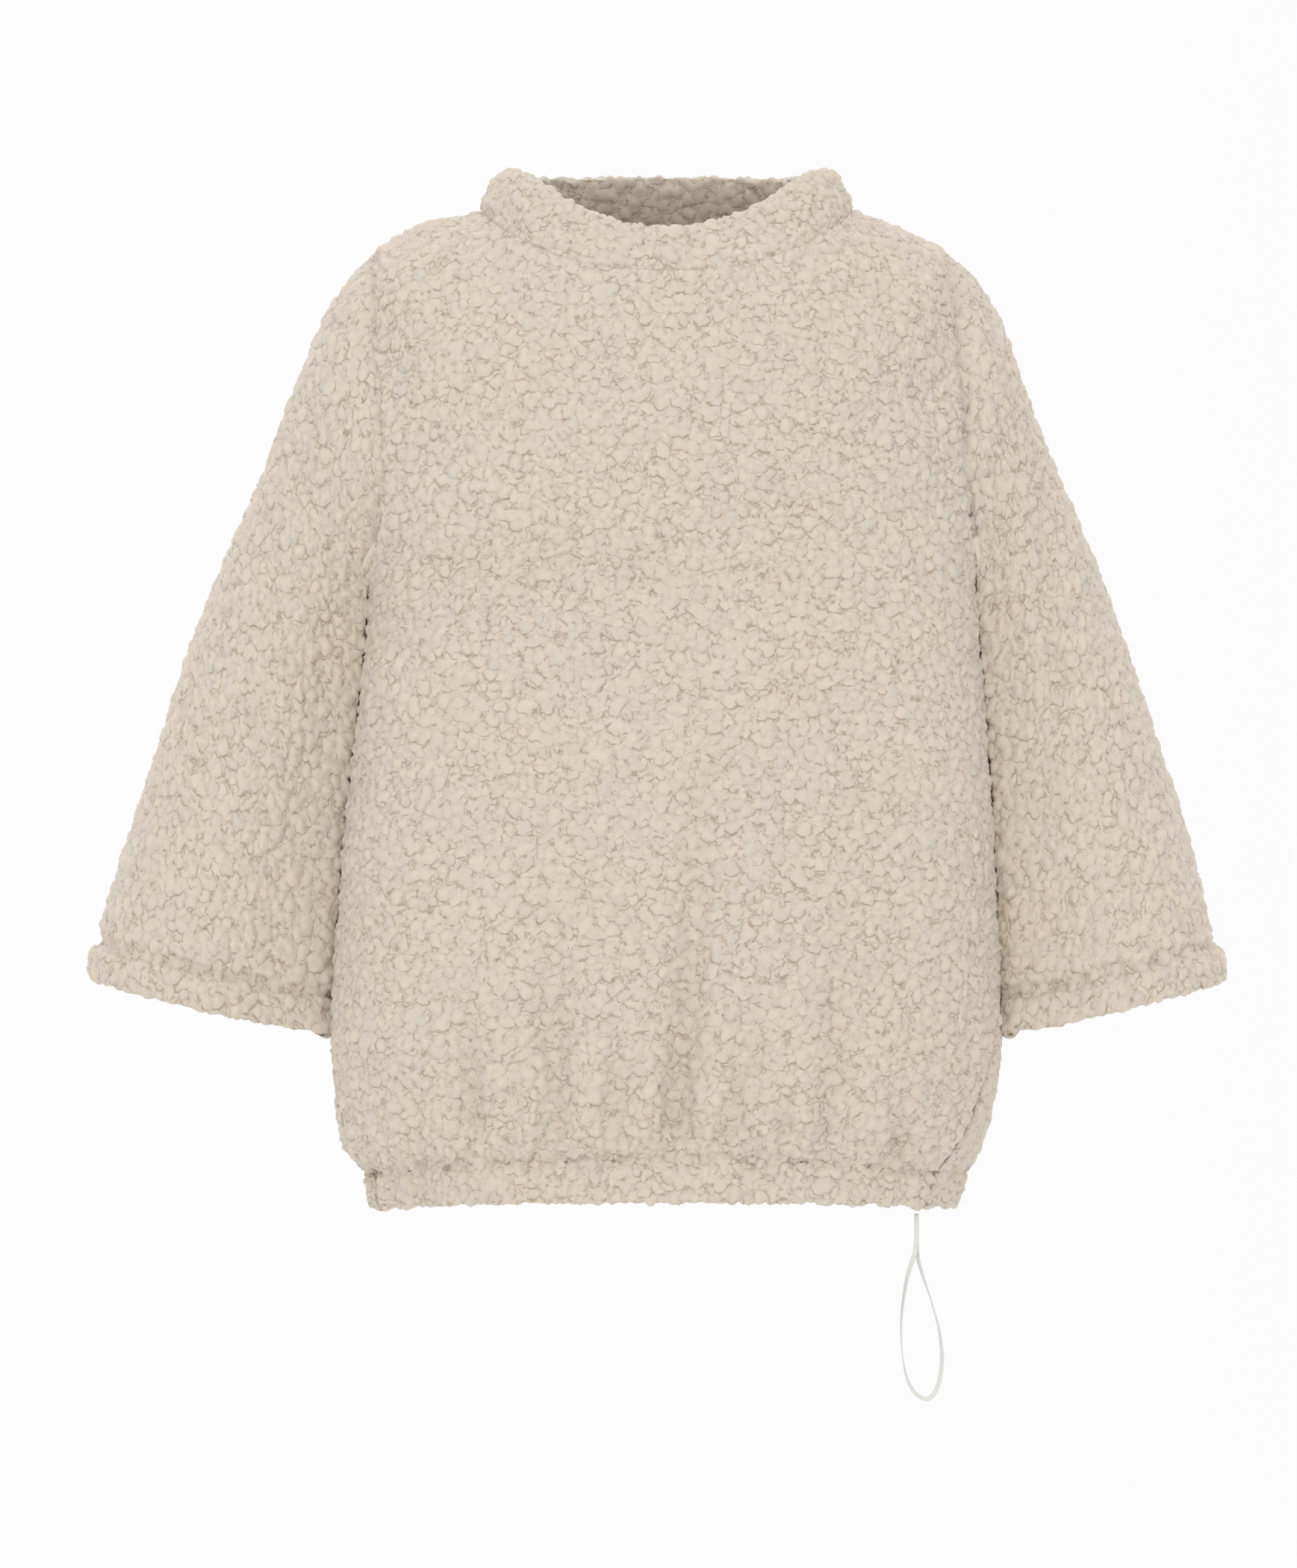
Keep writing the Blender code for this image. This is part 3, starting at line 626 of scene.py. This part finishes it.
def curl_field(tree, rest, rim):
    """Height of the curls, from about -1 to 1, the painted shadow line under each, and a tone for
    each.
    """
    wandered = rest
    for wander in WANDERS:
        shift = tree.vector("SUBTRACT", tree.noise(rest, wander.scale, 1.0)["Color"], (0.5, 0.5, 0.5))
        wandered = tree.vector("ADD", wandered, tree.scaled(shift, wander.reach))
    ground = tree.cells(wandered, GROUND_WIDTH, "F1")
    edge = tree.cells(wandered, GROUND_WIDTH, "DISTANCE_TO_EDGE")["Distance"]
    offset = tree.vector("SUBTRACT", wandered, ground["Position"])
    above = tree.part(offset, "Z") * (1 / GROUND_WIDTH)
    bulge = edge.ramped(0.0, GROUND_BULGE_REACH) * GROUND_BULGE
    height = GROUND_LEVEL + bulge - above * CURL_DROOP
    # Painted shadow: a thin line along the top of each ground curl, under the curl above it.
    line = edge.ramped(LINE_WIDTH / GROUND_WIDTH, 0.0) * above.ramped(-0.45, 0.05) * GROUND_SHADOW_LINE
    tone = tree.part(ground["Color"], "X")
    for layer in reversed(CURL_LAYERS):
        place = tree.vector("ADD", wandered, layer.shift)
        cells = tree.cells(place, layer.width, "F1")
        distance = cells["Distance"]
        offset = tree.vector("SUBTRACT", cells["Position"], place)
        below = tree.part(offset, "Z") * (1 / layer.width)
        share = (distance * (1 / layer.reach)).math("MINIMUM", 1.0)
        dome = (1.0 - share * share).math("SQRT")
        cover = distance.ramped(layer.reach, layer.reach - rim)
        level = layer.level + CURL_BULGE * dome + CURL_DROOP * below
        level = level * cover + (cover - 1.0) * BELOW_ALL
        # Painted shadow: a thin band just outside the lower rim of each curl, where it would shade the
        # curl below.
        outside = (distance - layer.reach) * (layer.width / LINE_WIDTH)
        band = (1.0 - (outside - 0.5).math("ABSOLUTE") * LINE_SHARPNESS).math("MAXIMUM", 0.0)
        under = (below / distance).ramped(-0.55, 0.45)
        line = (line * (1.0 - cover)).math("MAXIMUM", band * under)
        tone = tone * (1.0 - cover) + tree.part(cells["Color"], "X") * cover
        height = height.math("MAXIMUM", level)
    return height, line, tone


def curl_tree():
    """Raises the curls on a cloth shell's pile side and gives both its sides their material."""
    nodes = bpy.data.node_groups.new("curl_pile", "GeometryNodeTree")
    for name, kind in (("Geometry", "Geometry"), ("Curl height", "Float"), ("Pile", "Material"),
                       ("Knit", "Material")):
        nodes.interface.new_socket(name, in_out="INPUT", socket_type="NodeSocket" + kind)
    nodes.interface.new_socket("Geometry", in_out="OUTPUT", socket_type="NodeSocketGeometry")
    tree = Tree(nodes)
    given = tree.add("NodeGroupInput")
    rest, out, pile = (
        tree.add("GeometryNodeInputNamedAttribute", {"data_type": kind}, {"Name": name})["Attribute"]
        for name, kind in (("rest", "FLOAT_VECTOR"), ("out", "FLOAT_VECTOR"), ("pile", "FLOAT")))
    swell = (tree.noise(rest, SWELL_SCALE, 1.0)[0] - 0.5) * SWELL
    height = curl_field(tree, rest, RIM_IN_MESH)[0] + swell
    offset = tree.scaled(out, height * pile * given["Curl height"])
    raised = tree.add("GeometryNodeSetPosition", {}, {"Geometry": given["Geometry"], "Offset": offset})
    whole = tree.add("GeometryNodeRealizeInstances", {}, {"Geometry": raised["Geometry"]})
    coated = tree.add("GeometryNodeSetMaterial", {}, {"Geometry": whole["Geometry"],
                                                      "Material": given["Pile"]})
    inside = tree.add("FunctionNodeCompare", {"data_type": "FLOAT", "operation": "LESS_THAN"},
                      {0: pile, 1: 0.5})
    lined = tree.add("GeometryNodeSetMaterial", {}, {"Geometry": coated["Geometry"],
                                                     "Selection": inside["Result"],
                                                     "Material": given["Knit"]})
    tree.add("NodeGroupOutput", {}, {"Geometry": lined["Geometry"]})
    return nodes


# The cream is a little cooler or warmer from patch to patch. Tan is painted in the lines as shadow
# under the curls, and the low hollows between curls get a little painted shade.
CREAM_COOL = (0.630, 0.565, 0.476)
CREAM_WARM = (0.648, 0.556, 0.454)
CREAM_PAINTED_SHADOW = (0.320, 0.225, 0.140)
KNIT_DARK = (0.68, 0.61, 0.51)
KNIT_PALE = (0.73, 0.65, 0.54)
LINE_PAINTED_SHADOW = 0.80
HOLLOW_PAINTED_SHADE = 0.05
CURL_TONE = 0.06
FIBRE_TONE = 0.16
FIBRE_RELIEF = 0.16
LINE_RELIEF = 0.4


def new_material(name, roughness, attribute):
    """A material with its tree, its shader and the attribute that its patterns are laid by."""
    material = bpy.data.materials.new(name)
    material.use_nodes = True
    shader = material.node_tree.nodes["Principled BSDF"]
    shader.inputs["Roughness"].default_value = roughness
    tree = Tree(material.node_tree)
    place = tree.add("ShaderNodeAttribute", {"attribute_name": attribute})["Vector"]
    return material, tree, shader, place


def pile_material():
    material, tree, shader, rest = new_material("pile_cloth", 0.95, "rest")
    shader.inputs["Specular IOR Level"].default_value = 0.15
    shader.inputs["Sheen Weight"].default_value = 0.30
    height, line, tone = curl_field(tree, rest, RIM_IN_SHADER)
    patches = tree.noise(rest, 17.0, 2.0)[0]
    gaps = tree.noise(rest, 60.0, 1.0)[0]
    breaks = tree.noise(rest, 230.0, 1.0)[0]
    fibres = tree.noise(rest, 1500.0, 1.0)[0]
    mood = (patches * 0.75 + tone * 0.25).ramped(0.22, 0.78)
    light = 0.95 + tone * CURL_TONE + (fibres - 0.5) * FIBRE_TONE
    colour = tree.scaled(tree.mixed(mood, CREAM_COOL, CREAM_WARM), light)
    line = line * (gaps * 0.3 + breaks * 0.7).ramped(0.40, 0.56)
    # Painted shade: the shadow lines under the curls, and a slight darkening of the low hollows
    # between them, mixed towards tan.
    hollow = height.ramped(0.20, -0.50)
    painted_shade = (line * LINE_PAINTED_SHADOW + hollow * HOLLOW_PAINTED_SHADE).clipped()
    relief = height + fibres * FIBRE_RELIEF - line * LINE_RELIEF
    tree.surface(shader, tree.mixed(painted_shade, colour, CREAM_PAINTED_SHADOW), relief, 0.58, CURL_HEIGHT * 0.65)
    return material


def knit_material():
    material, tree, shader, rest = new_material("knit_back", 0.9, "rest")
    ribs = tree.waves(rest, "X", 200.0)
    patches = tree.noise(rest, 30.0, 3.0)[0]
    colour = tree.mixed(patches.ramped(0.3, 0.7), KNIT_DARK, KNIT_PALE)
    tree.surface(shader, colour, ribs, 0.3, 0.0005)
    return material


CURL_TREE = curl_tree()
PILE = pile_material()
KNIT = knit_material()


def raise_pile(shell):
    """Runs the curl tree on a shell and keeps the result as its plain mesh."""
    modifier = shell.modifiers.new("curl_pile", "NODES")
    modifier.node_group = CURL_TREE
    wanted = {"Curl height": CURL_HEIGHT, "Pile": PILE, "Knit": KNIT}
    for item in CURL_TREE.interface.items_tree:
        if item.in_out == "INPUT" and item.name in wanted:
            modifier[item.identifier] = wanted[item.name]
    bpy.context.view_layer.update()
    graph = bpy.context.evaluated_depsgraph_get()
    plain = bpy.data.meshes.new_from_object(shell.evaluated_get(graph))
    shell.modifiers.clear()
    shell.data = plain
    plain.name = shell.name
    plain.attributes.remove(plain.attributes["out"])


# The curls' pattern is squeezed by this much along x, y and z. Above 1 they are smaller that way.
UPRIGHT_SQUEEZE = (1.0, 1.0, 1.1)


def make_panel(piece):
    outer, walls, facing_row = panel_grid(piece)
    panel = make_shell(piece + "_cloth", outer, walls, facing_row, False, UPRIGHT_SQUEEZE)
    raise_pile(panel)
    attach(panel, "root")
    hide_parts(piece)


make_panel("front")
make_panel("back")


# Each sleeve is one wide piece of the same cloth, sewn along its underarm and set into the
# armhole under the body's edge. Its lower edge is turned in by 35 mm, stitched and puffed out.
# Rows from the armhole down to the hem. A place along a sleeve is counted in these rows.
SleeveSection = namedtuple("SleeveSection", "reach_right reach_left outer_height inner_height "
                           "inner_gap set_back front back wall", defaults=[CLOTH_WALL])
SLEEVE_SECTIONS = [SleeveSection(*row) for row in (
    (0.1950, 0.1860, -0.0260, -0.2550, 0.0000, 0.000, 0.072, 0.066),
    (0.2085, 0.2020, -0.0390, -0.2505, 0.0030, 0.000, 0.072, 0.067),
    (0.2285, 0.2220, -0.0675, -0.2570, 0.0030, 0.002, 0.072, 0.069),
    (0.2475, 0.2385, -0.1125, -0.2720, 0.0020, 0.005, 0.072, 0.071),
    (0.2710, 0.2620, -0.1725, -0.3000, 0.0015, 0.010, 0.073, 0.074),
    (0.2975, 0.2880, -0.2325, -0.3370, 0.0015, 0.015, 0.074, 0.076),
    (0.3215, 0.3100, -0.2925, -0.3800, 0.0015, 0.019, 0.076, 0.078),
    (0.3445, 0.3340, -0.3625, -0.4260, 0.0015, 0.022, 0.078, 0.080),
    (0.3665, 0.3550, -0.4300, -0.4730, 0.0015, 0.024, 0.081, 0.082),
    (0.3810, 0.3665, -0.4780, -0.5150, 0.0020, 0.025, 0.082, 0.083, 0.0080),
    (0.3815, 0.3690, -0.4860, -0.5230, 0.0040, 0.025, 0.080, 0.081, 0.0100),
    (0.3900, 0.3760, -0.4980, -0.5330, 0.0015, 0.025, 0.084, 0.085, 0.0130),
    (0.3895, 0.3770, -0.5090, -0.5450, 0.0015, 0.025, 0.084, 0.085, 0.0130),
    (0.3820, 0.3720, -0.5150, -0.5540, 0.0045, 0.025, 0.080, 0.081, 0.0100),
)]
SLEEVE_SQUARENESS = 2.3
SLEEVE_INNER_EXTRA = 2.6
SLEEVE_INNER_SLANT_RIGHT = 0.24
SLEEVE_INNER_SLANT_LEFT = 0.12
SLEEVE_INNER_SPREAD = 0.6
SLEEVE_SQUEEZE = (1.15, 1.0, 0.88)
SLEEVE_COLUMNS = 270
SLEEVE_ROWS = 230
SLEEVE_MIDDLE_PLACE = 8.0
SLEEVE_STITCH_PLACE = 10.0
SLEEVE_ROLL_PLACE = 12.1
ARMHOLE_EASE = 4.0
ARMHOLE_SINK = 0.0020
ARMHOLE_SINK_WIDTH = 0.012
SLEEVE_NESTLE = 0.0035
SLEEVE_NESTLE_PLACES = 2
SLEEVE_CONTACT = -0.0020
SLEEVE_PRESS = 0.010
SLEEVE_PRESS_PLACES = 1.5
PRESSED_TURN_START = 0.25
PRESSED_TURN_SPAN = 0.40
BODY_SIDE_LIMIT = 0.98
STITCH_SINK = 0.0026
STITCH_SINK_WIDTH = 0.0030
STITCH_SINK_VARIES = 0.35
STITCH_RIPPLE = Ripple(0.0035, 2.0, 0.021, 0.0)
TUCK_ROWS = 5
TUCK_WIDTH = 0.008
TUCK_DEPTH = 0.004

SLEEVE = TableCurves(SLEEVE_SECTIONS, range(len(SLEEVE_SECTIONS)))


def superellipse_side(half_width, share, power):
    """Half the width of a section at a share of its depth."""
    return half_width * (1 - share ** power) ** (1 / power)


def sleeve_rings(places, turns, left_side):
    """Plain sections of a sleeve, and their middles. turn 0 is the sleeve's outer edge."""
    side = 1 if left_side else -1
    inner_height = SLEEVE.read("inner_height", places)
    set_back = SLEEVE.read("set_back", places)
    body_half = BODY.read("left" if left_side else "right", -inner_height)
    share_back = set_back / BODY.read("back", -inner_height)
    body_side = superellipse_side(body_half, share_back, body_squareness(inner_height))
    reach = SLEEVE.read("reach_left" if left_side else "reach_right", places)
    nestle = SLEEVE_NESTLE * eased(places / SLEEVE_NESTLE_PLACES)
    inner_reach = body_side + SLEEVE.read("inner_gap", places) - nestle
    outer_edge = np.stack([side * reach, set_back, SLEEVE.read("outer_height", places)], axis=-1)
    inner_edge = np.stack([side * inner_reach, set_back, inner_height], axis=-1)
    middles = (outer_edge + inner_edge) / 2
    halves = (outer_edge - inner_edge) / 2
    squareness = SLEEVE_SQUARENESS + SLEEVE_INNER_EXTRA * eased(-np.cos(turns) / SLEEVE_INNER_SPREAD)
    across = signed_power(np.cos(turns), 2 / squareness)
    forwards = signed_power(np.sin(turns), 2 / squareness)
    front, back = SLEEVE.read("front", places)[:, None], SLEEVE.read("back", places)[:, None]
    depth = np.where(forwards > 0, front, back)
    slant = SLEEVE_INNER_SLANT_LEFT if left_side else SLEEVE_INNER_SLANT_RIGHT
    depth = depth * (1 - slant * eased(-across))
    rings = middles[:, None] + halves[:, None] * across[None, :, None]
    rings[..., 1] -= depth * forwards
    return rings, middles


def against_body(points, turns, places):
    """Lays the inner side of a sleeve against the body, which it touches from the underarm down."""
    heights = np.clip(points[..., 2], HEM_HEIGHT, 0.0)
    depth = np.where(points[..., 1] < 0, BODY.read("front", -heights), BODY.read("back", -heights))
    left, right = BODY.read("left", -heights), BODY.read("right", -heights)
    half_width = np.where(points[..., 0] > 0, left, right)
    share = np.minimum(np.abs(points[..., 1]) / depth, BODY_SIDE_LIMIT)
    body_side = superellipse_side(half_width, share, body_squareness(heights))
    gap = np.minimum(np.abs(points[..., 0]) - body_side - SLEEVE_CONTACT, SLEEVE_PRESS)
    inner_side = eased((-np.cos(turns) - PRESSED_TURN_START) / PRESSED_TURN_SPAN)
    pull = gap * inner_side * eased(places / SLEEVE_PRESS_PLACES)[:, None]
    pressed = points.copy()
    pressed[..., 0] -= np.sign(points[..., 0]) * pull
    return pressed


def tucked_rows(seam, normals, first_depth):
    """Rows that carry a piece on from its seam, out of sight under the panel that it is sewn to."""
    along = np.roll(seam, -1, axis=0) - np.roll(seam, 1, axis=0)
    under = unit_vectors(np.cross(along, normals))
    away = seam - seam.mean(axis=0)
    under = under * np.where((under * away).sum(axis=-1) > 0, 1.0, -1.0)[:, None]
    rows = []
    for share in np.linspace(1.0, 0.0, TUCK_ROWS, endpoint=False):
        depth = first_depth + (TUCK_DEPTH - first_depth) * eased(share)
        rows.append(seam + under * TUCK_WIDTH * share - normals * depth)
    return np.array(rows)


def armhole_ring(turns, left_side):
    """The seam round the armhole, on the surface of the body, and the body's normals there."""
    heights = ARMHOLE_MIDDLE + ARMHOLE_REACH * np.cos(turns)
    opening = armhole_turn(heights, ARMHOLE_TURN_LEFT if left_side else ARMHOLE_TURN_RIGHT)
    opening = np.where(np.sin(turns) > 0, opening, -opening)
    body_turns = opening if left_side else math.pi - opening
    points = body_point(body_turns, heights)
    normals = body_normal(body_turns, heights)
    depth = np.where(np.sin(turns) > 0, fold_depth("front", points), fold_depth("back", points))
    return points - normals * depth[:, None], normals


def sleeve_grid(piece):
    """Outer points of a sleeve, down to its hem, round it and up inside."""
    left_side = piece == "sleeve_left"
    turns = np.linspace(0.0, 2 * math.pi, LINE_SAMPLES)
    ring = sleeve_rings(np.array([SLEEVE_MIDDLE_PLACE]), turns, left_side)[0][0]
    turns = evenly_spread(turns, ring, SLEEVE_COLUMNS)[:-1]
    seam, seam_normals = armhole_ring(turns, left_side)
    plain_seam = sleeve_rings(np.array([0.0]), turns, left_side)[0][0]
    places = np.linspace(0.0, SLEEVE_ROLL_PLACE, ROW_SAMPLES)
    quarter = np.array([math.pi / 2])
    line = sleeve_rings(places, quarter, left_side)[0][:, 0]
    places = evenly_spread(places, line, SLEEVE_ROWS)
    rings, middles = sleeve_rings(places, turns, left_side)
    easing = (1 - eased(places / ARMHOLE_EASE))[:, None, None]
    points = rings + (seam - plain_seam) * easing
    points = against_body(points, turns, places)
    normals = outward_normals(points, True, SLEEVE_ROWS)
    down = np.array([run_lengths(column) for column in points.swapaxes(0, 1)]).T
    stitches = down - down[np.searchsorted(places, SLEEVE_STITCH_PLACE)]
    pulled = 1 + STITCH_SINK_VARIES * rippled(STITCH_RIPPLE, run_lengths(points[-1]))
    stitch_sink = STITCH_SINK * np.exp(-(stitches / STITCH_SINK_WIDTH) ** 2) * pulled
    front_side = points[..., 1] < middles[:, None, 1]
    folds = np.where(front_side, fold_depth(piece, points), 0.0)
    normals[0] = seam_normals
    seam_sink = ARMHOLE_SINK * np.abs(np.sin(turns))
    sunk = seam_sink * (1 - eased(down / ARMHOLE_SINK_WIDTH))
    points = points - normals * (folds + sunk + stitch_sink)[..., None]
    tuck = tucked_rows(seam, seam_normals, seam_sink[:, None])
    hem_rows = int(np.sum(places > SLEEVE_STITCH_PLACE))
    facing_row = TUCK_ROWS + (SLEEVE_ROWS - hem_rows) // COARSE * COARSE
    all_places = np.concatenate([np.zeros(TUCK_ROWS), places,
                                 np.full(ROLL_ROWS + TURN_UP_ROWS, SLEEVE_ROLL_PLACE)])
    outer = np.concatenate([tuck, turned_hem(points, normals, hem_rows)])
    return outer, SLEEVE.read("wall", all_places), facing_row


def make_sleeve(piece):
    outer, walls, facing_row = sleeve_grid(piece)
    sleeve = make_shell(piece + "_cloth", outer, walls, facing_row, True, SLEEVE_SQUEEZE)
    raise_pile(sleeve)
    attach(sleeve, "root")
    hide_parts(piece)


make_sleeve("sleeve_left")
make_sleeve("sleeve_right")


# The collar is one strip of the cloth, folded double with the pile outside, and sewn into the
# neck seam by both its edges. It leans in towards the neck and stands up by itself.
CollarRing = namedtuple("CollarRing", "height half_width front back front_drop back_drop power")
COLLAR_RINGS = [CollarRing(*row) for row in (
    (0.0080, 0.1235, 0.0965, 0.0830, 0.0440, 0.0050, 1.9),
    (0.0170, 0.1195, 0.0920, 0.0800, 0.0430, 0.0000, 2.3),
    (0.0245, 0.1145, 0.0875, 0.0770, 0.0425, -0.0040, 2.8),
    (0.0285, 0.1065, 0.0815, 0.0710, 0.0435, -0.0030, 3.0),
    (0.0245, 0.0985, 0.0745, 0.0640, 0.0425, -0.0040, 2.8),
    (0.0120, 0.1050, 0.0800, 0.0690, 0.0430, 0.0030, 2.2),
)]
COLLAR_COLUMNS = 350
COLLAR_ROWS = 46
COLLAR_WALL = 0.003


def collar_ring_points(ring, turns):
    across = signed_power(np.cos(turns), 2 / SQUARENESS)
    forwards = signed_power(np.sin(turns), 2 / SQUARENESS)
    depth = np.where(forwards > 0, ring.front, ring.back)
    drop = np.where(forwards > 0, ring.front_drop, ring.back_drop)
    heights = ring.height - drop * np.abs(np.sin(turns)) ** ring.power
    return np.stack([ring.half_width * across, -depth * forwards, heights], axis=-1)


def smooth_line(points, count):
    """Evenly counted points on a smooth curve through the given ones."""
    padded = np.concatenate([[2 * points[0] - points[1]], points, [2 * points[-1] - points[-2]]])
    line = []
    for place in np.linspace(0, len(points) - 1, count):
        start = min(int(place), len(points) - 2)
        share = place - start
        before, first, second, after = padded[start:start + 4]
        line.append(first + 0.5 * share * (second - before
                    + share * (2 * before - 5 * first + 4 * second - after
                               + share * (3 * (first - second) + after - before))))
    return np.array(line)


def make_collar():
    turns = np.linspace(0.0, 2 * math.pi, LINE_SAMPLES)
    turns = evenly_spread(turns, collar_ring_points(COLLAR_RINGS[2], turns), COLLAR_COLUMNS)[:-1]
    seam = body_point(turns, np.zeros_like(turns))
    normals = body_normal(turns, np.zeros_like(turns))
    rings = [seam]
    rings.extend(collar_ring_points(ring, turns) for ring in COLLAR_RINGS)
    rings.append(seam - normals * BODY_SECTIONS[0].wall)
    grid = smooth_line(np.array(rings), COLLAR_ROWS)
    grid = np.concatenate([tucked_rows(seam, normals, 0.0), grid])
    walls = np.full(len(grid), COLLAR_WALL)
    collar = make_shell("collar_cloth", grid, walls, len(grid) - 1, True, UPRIGHT_SQUEEZE)
    raise_pile(collar)
    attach(collar, "root")
    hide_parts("collar")


make_collar()


# The elastic that draws the hem in leaves the casing at the wearer's left seam and hangs in one
# long loop. It is woven flat, 3 mm wide, and turns slowly as it hangs.
CORD_WIDTH = 0.003
CORD_THICKNESS = 0.0008
CORD_POINTS = [
    (0.1644, -0.0690, -0.6657), (0.1645, -0.0691, -0.6726), (0.1642, -0.0691, -0.6824),
    (0.1634, -0.0690, -0.6905), (0.1619, -0.0689, -0.6955), (0.1601, -0.0688, -0.7011),
    (0.1580, -0.0686, -0.7089), (0.1560, -0.0684, -0.7207), (0.1545, -0.0681, -0.7345),
    (0.1545, -0.0679, -0.7473), (0.1554, -0.0677, -0.7601), (0.1577, -0.0675, -0.7719),
    (0.1610, -0.0673, -0.7798), (0.1650, -0.0671, -0.7848), (0.1707, -0.0669, -0.7875),
    (0.1753, -0.0667, -0.7850), (0.1784, -0.0664, -0.7794), (0.1804, -0.0661, -0.7719),
    (0.1814, -0.0658, -0.7601), (0.1807, -0.0655, -0.7512), (0.1792, -0.0652, -0.7404),
    (0.1763, -0.0649, -0.7301), (0.1736, -0.0647, -0.7207), (0.1702, -0.0646, -0.7109),
    (0.1671, -0.0646, -0.7011), (0.1656, -0.0647, -0.6950), (0.1648, -0.0648, -0.6883),
    (0.1646, -0.0649, -0.6800), (0.1646, -0.0650, -0.6726), (0.1645, -0.0650, -0.6657),
]
CORD_STEPS = 420
CORD_CORNERS = 12
CORD_CORNER_POWER = 0.5
ELASTIC_DARK = (0.60, 0.60, 0.56)
ELASTIC_PALE = (0.76, 0.76, 0.73)

# How far the flat side turns away from the viewer, in degrees, along the loop.
CordTwist = namedtuple("CordTwist", "turned")
CORD_TWISTS = [CordTwist(turned)
               for turned in (20, 10, -15, -60, -85, -40, 0, 20, 60, 80, 45, 15, -10)]
TWIST = TableCurves(CORD_TWISTS, np.linspace(0.0, 1.0, len(CORD_TWISTS)))


def elastic_material():
    material, tree, shader, along = new_material("elastic_cord", 0.6, "along")
    ribs = tree.waves(along, "X", 330.0) * 0.6 + tree.waves(along, "Y", 500.0) * 0.4
    tree.surface(shader, tree.mixed(ribs, ELASTIC_DARK, ELASTIC_PALE), ribs, 0.5, 0.0002)
    return material


def make_drawcord():
    route = smooth_line(np.array(CORD_POINTS), CORD_STEPS)
    share = np.linspace(0.0, 1.0, CORD_STEPS)
    run = unit_vectors(np.gradient(route, axis=0))
    towards_back = np.array([0.0, 1.0, 0.0])
    aside = unit_vectors(np.cross(run, towards_back))
    behind = np.cross(aside, run)
    angle = np.radians(TWIST.read("turned", share))[:, None]
    wide = aside * np.cos(angle) + behind * np.sin(angle)
    thick = np.cross(run, wide)
    corners = []
    faces = []
    along = []
    lengths = run_lengths(route)
    for step in range(CORD_STEPS):
        for corner in range(CORD_CORNERS):
            turn = 2 * math.pi * corner / CORD_CORNERS
            out = signed_power(math.cos(turn), CORD_CORNER_POWER) * CORD_WIDTH / 2
            up = signed_power(math.sin(turn), CORD_CORNER_POWER) * CORD_THICKNESS / 2
            corners.append(route[step] + wide[step] * out + thick[step] * up)
            along.append((lengths[step], out, 0.0))
    for step in range(CORD_STEPS - 1):
        for corner in range(CORD_CORNERS):
            after = (corner + 1) % CORD_CORNERS
            start = step * CORD_CORNERS
            faces.append((start + corner, start + after,
                          start + CORD_CORNERS + after, start + CORD_CORNERS + corner))
    faces.append(tuple(range(CORD_CORNERS))[::-1])
    faces.append(tuple(range((CORD_STEPS - 1) * CORD_CORNERS, CORD_STEPS * CORD_CORNERS)))
    data = bpy.data.meshes.new("drawcord_elastic")
    data.from_pydata(np.array(corners).tolist(), [], faces)
    data.shade_smooth()
    data.materials.append(elastic_material())
    add_values(data, "along", "FLOAT_VECTOR", along)
    cord = bpy.data.objects.new("drawcord_elastic", data)
    bpy.context.scene.collection.objects.link(cord)
    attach(cord, "root")
    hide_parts("drawcord")


make_drawcord()


# The floor and the light: a pale floor well below the garment, and a light tent round it. The
# backdrop is plain white, and the tent is brighter in front, behind, above and below.
FLOOR_HEIGHT = -1.40
FLOOR_RADIUS = 3.4
TENT_LIGHT = 0.82
BACKDROP_LIGHT = 0.18
BEHIND_LIGHT = 0.70
FRONT_LIGHT = 0.88
ABOVE_LIGHT = 0.55
BELOW_LIGHT = 0.25
LEFT_SHADE = 0.08

bpy.ops.mesh.primitive_circle_add(vertices=96, radius=FLOOR_RADIUS, fill_type="NGON",
                                  location=(0.0, 0.0, FLOOR_HEIGHT))
floor = bpy.context.active_object
floor.name = "floor"
floor_material = bpy.data.materials.new("floor")
floor_material.use_nodes = True
floor_shader = floor_material.node_tree.nodes["Principled BSDF"]
floor_shader.inputs["Base Color"].default_value = (0.85, 0.85, 0.85, 1.0)
floor_shader.inputs["Roughness"].default_value = 0.9
floor.data.materials.append(floor_material)

world = bpy.data.worlds.new("light_tent")
world.use_nodes = True
world_tree = Tree(world.node_tree)
direction = world_tree.add("ShaderNodeTexCoord")["Generated"]
across, backwards, upwards = (world_tree.part(direction, axis) for axis in "XYZ")
backdrop = backwards.ramped(0.88, 0.96)
behind = backwards.ramped(0.25, 0.60) * (1.0 - backdrop)
front = backwards.ramped(-0.60, -0.95)
above = upwards.ramped(0.50, 0.95)
below = upwards.ramped(-0.10, -0.60)
left = across.ramped(-0.5, 0.9)
strength = (TENT_LIGHT + backdrop * BACKDROP_LIGHT + behind * BEHIND_LIGHT + front * FRONT_LIGHT
            + above * ABOVE_LIGHT + below * BELOW_LIGHT - left * LEFT_SHADE)
background = world.node_tree.nodes["Background"]
background.inputs["Color"].default_value = (1.0, 1.0, 1.0, 1.0)
world.node_tree.links.new(strength.socket, background.inputs["Strength"])
bpy.context.scene.world = world
bpy.context.scene.view_settings.view_transform = "Standard"
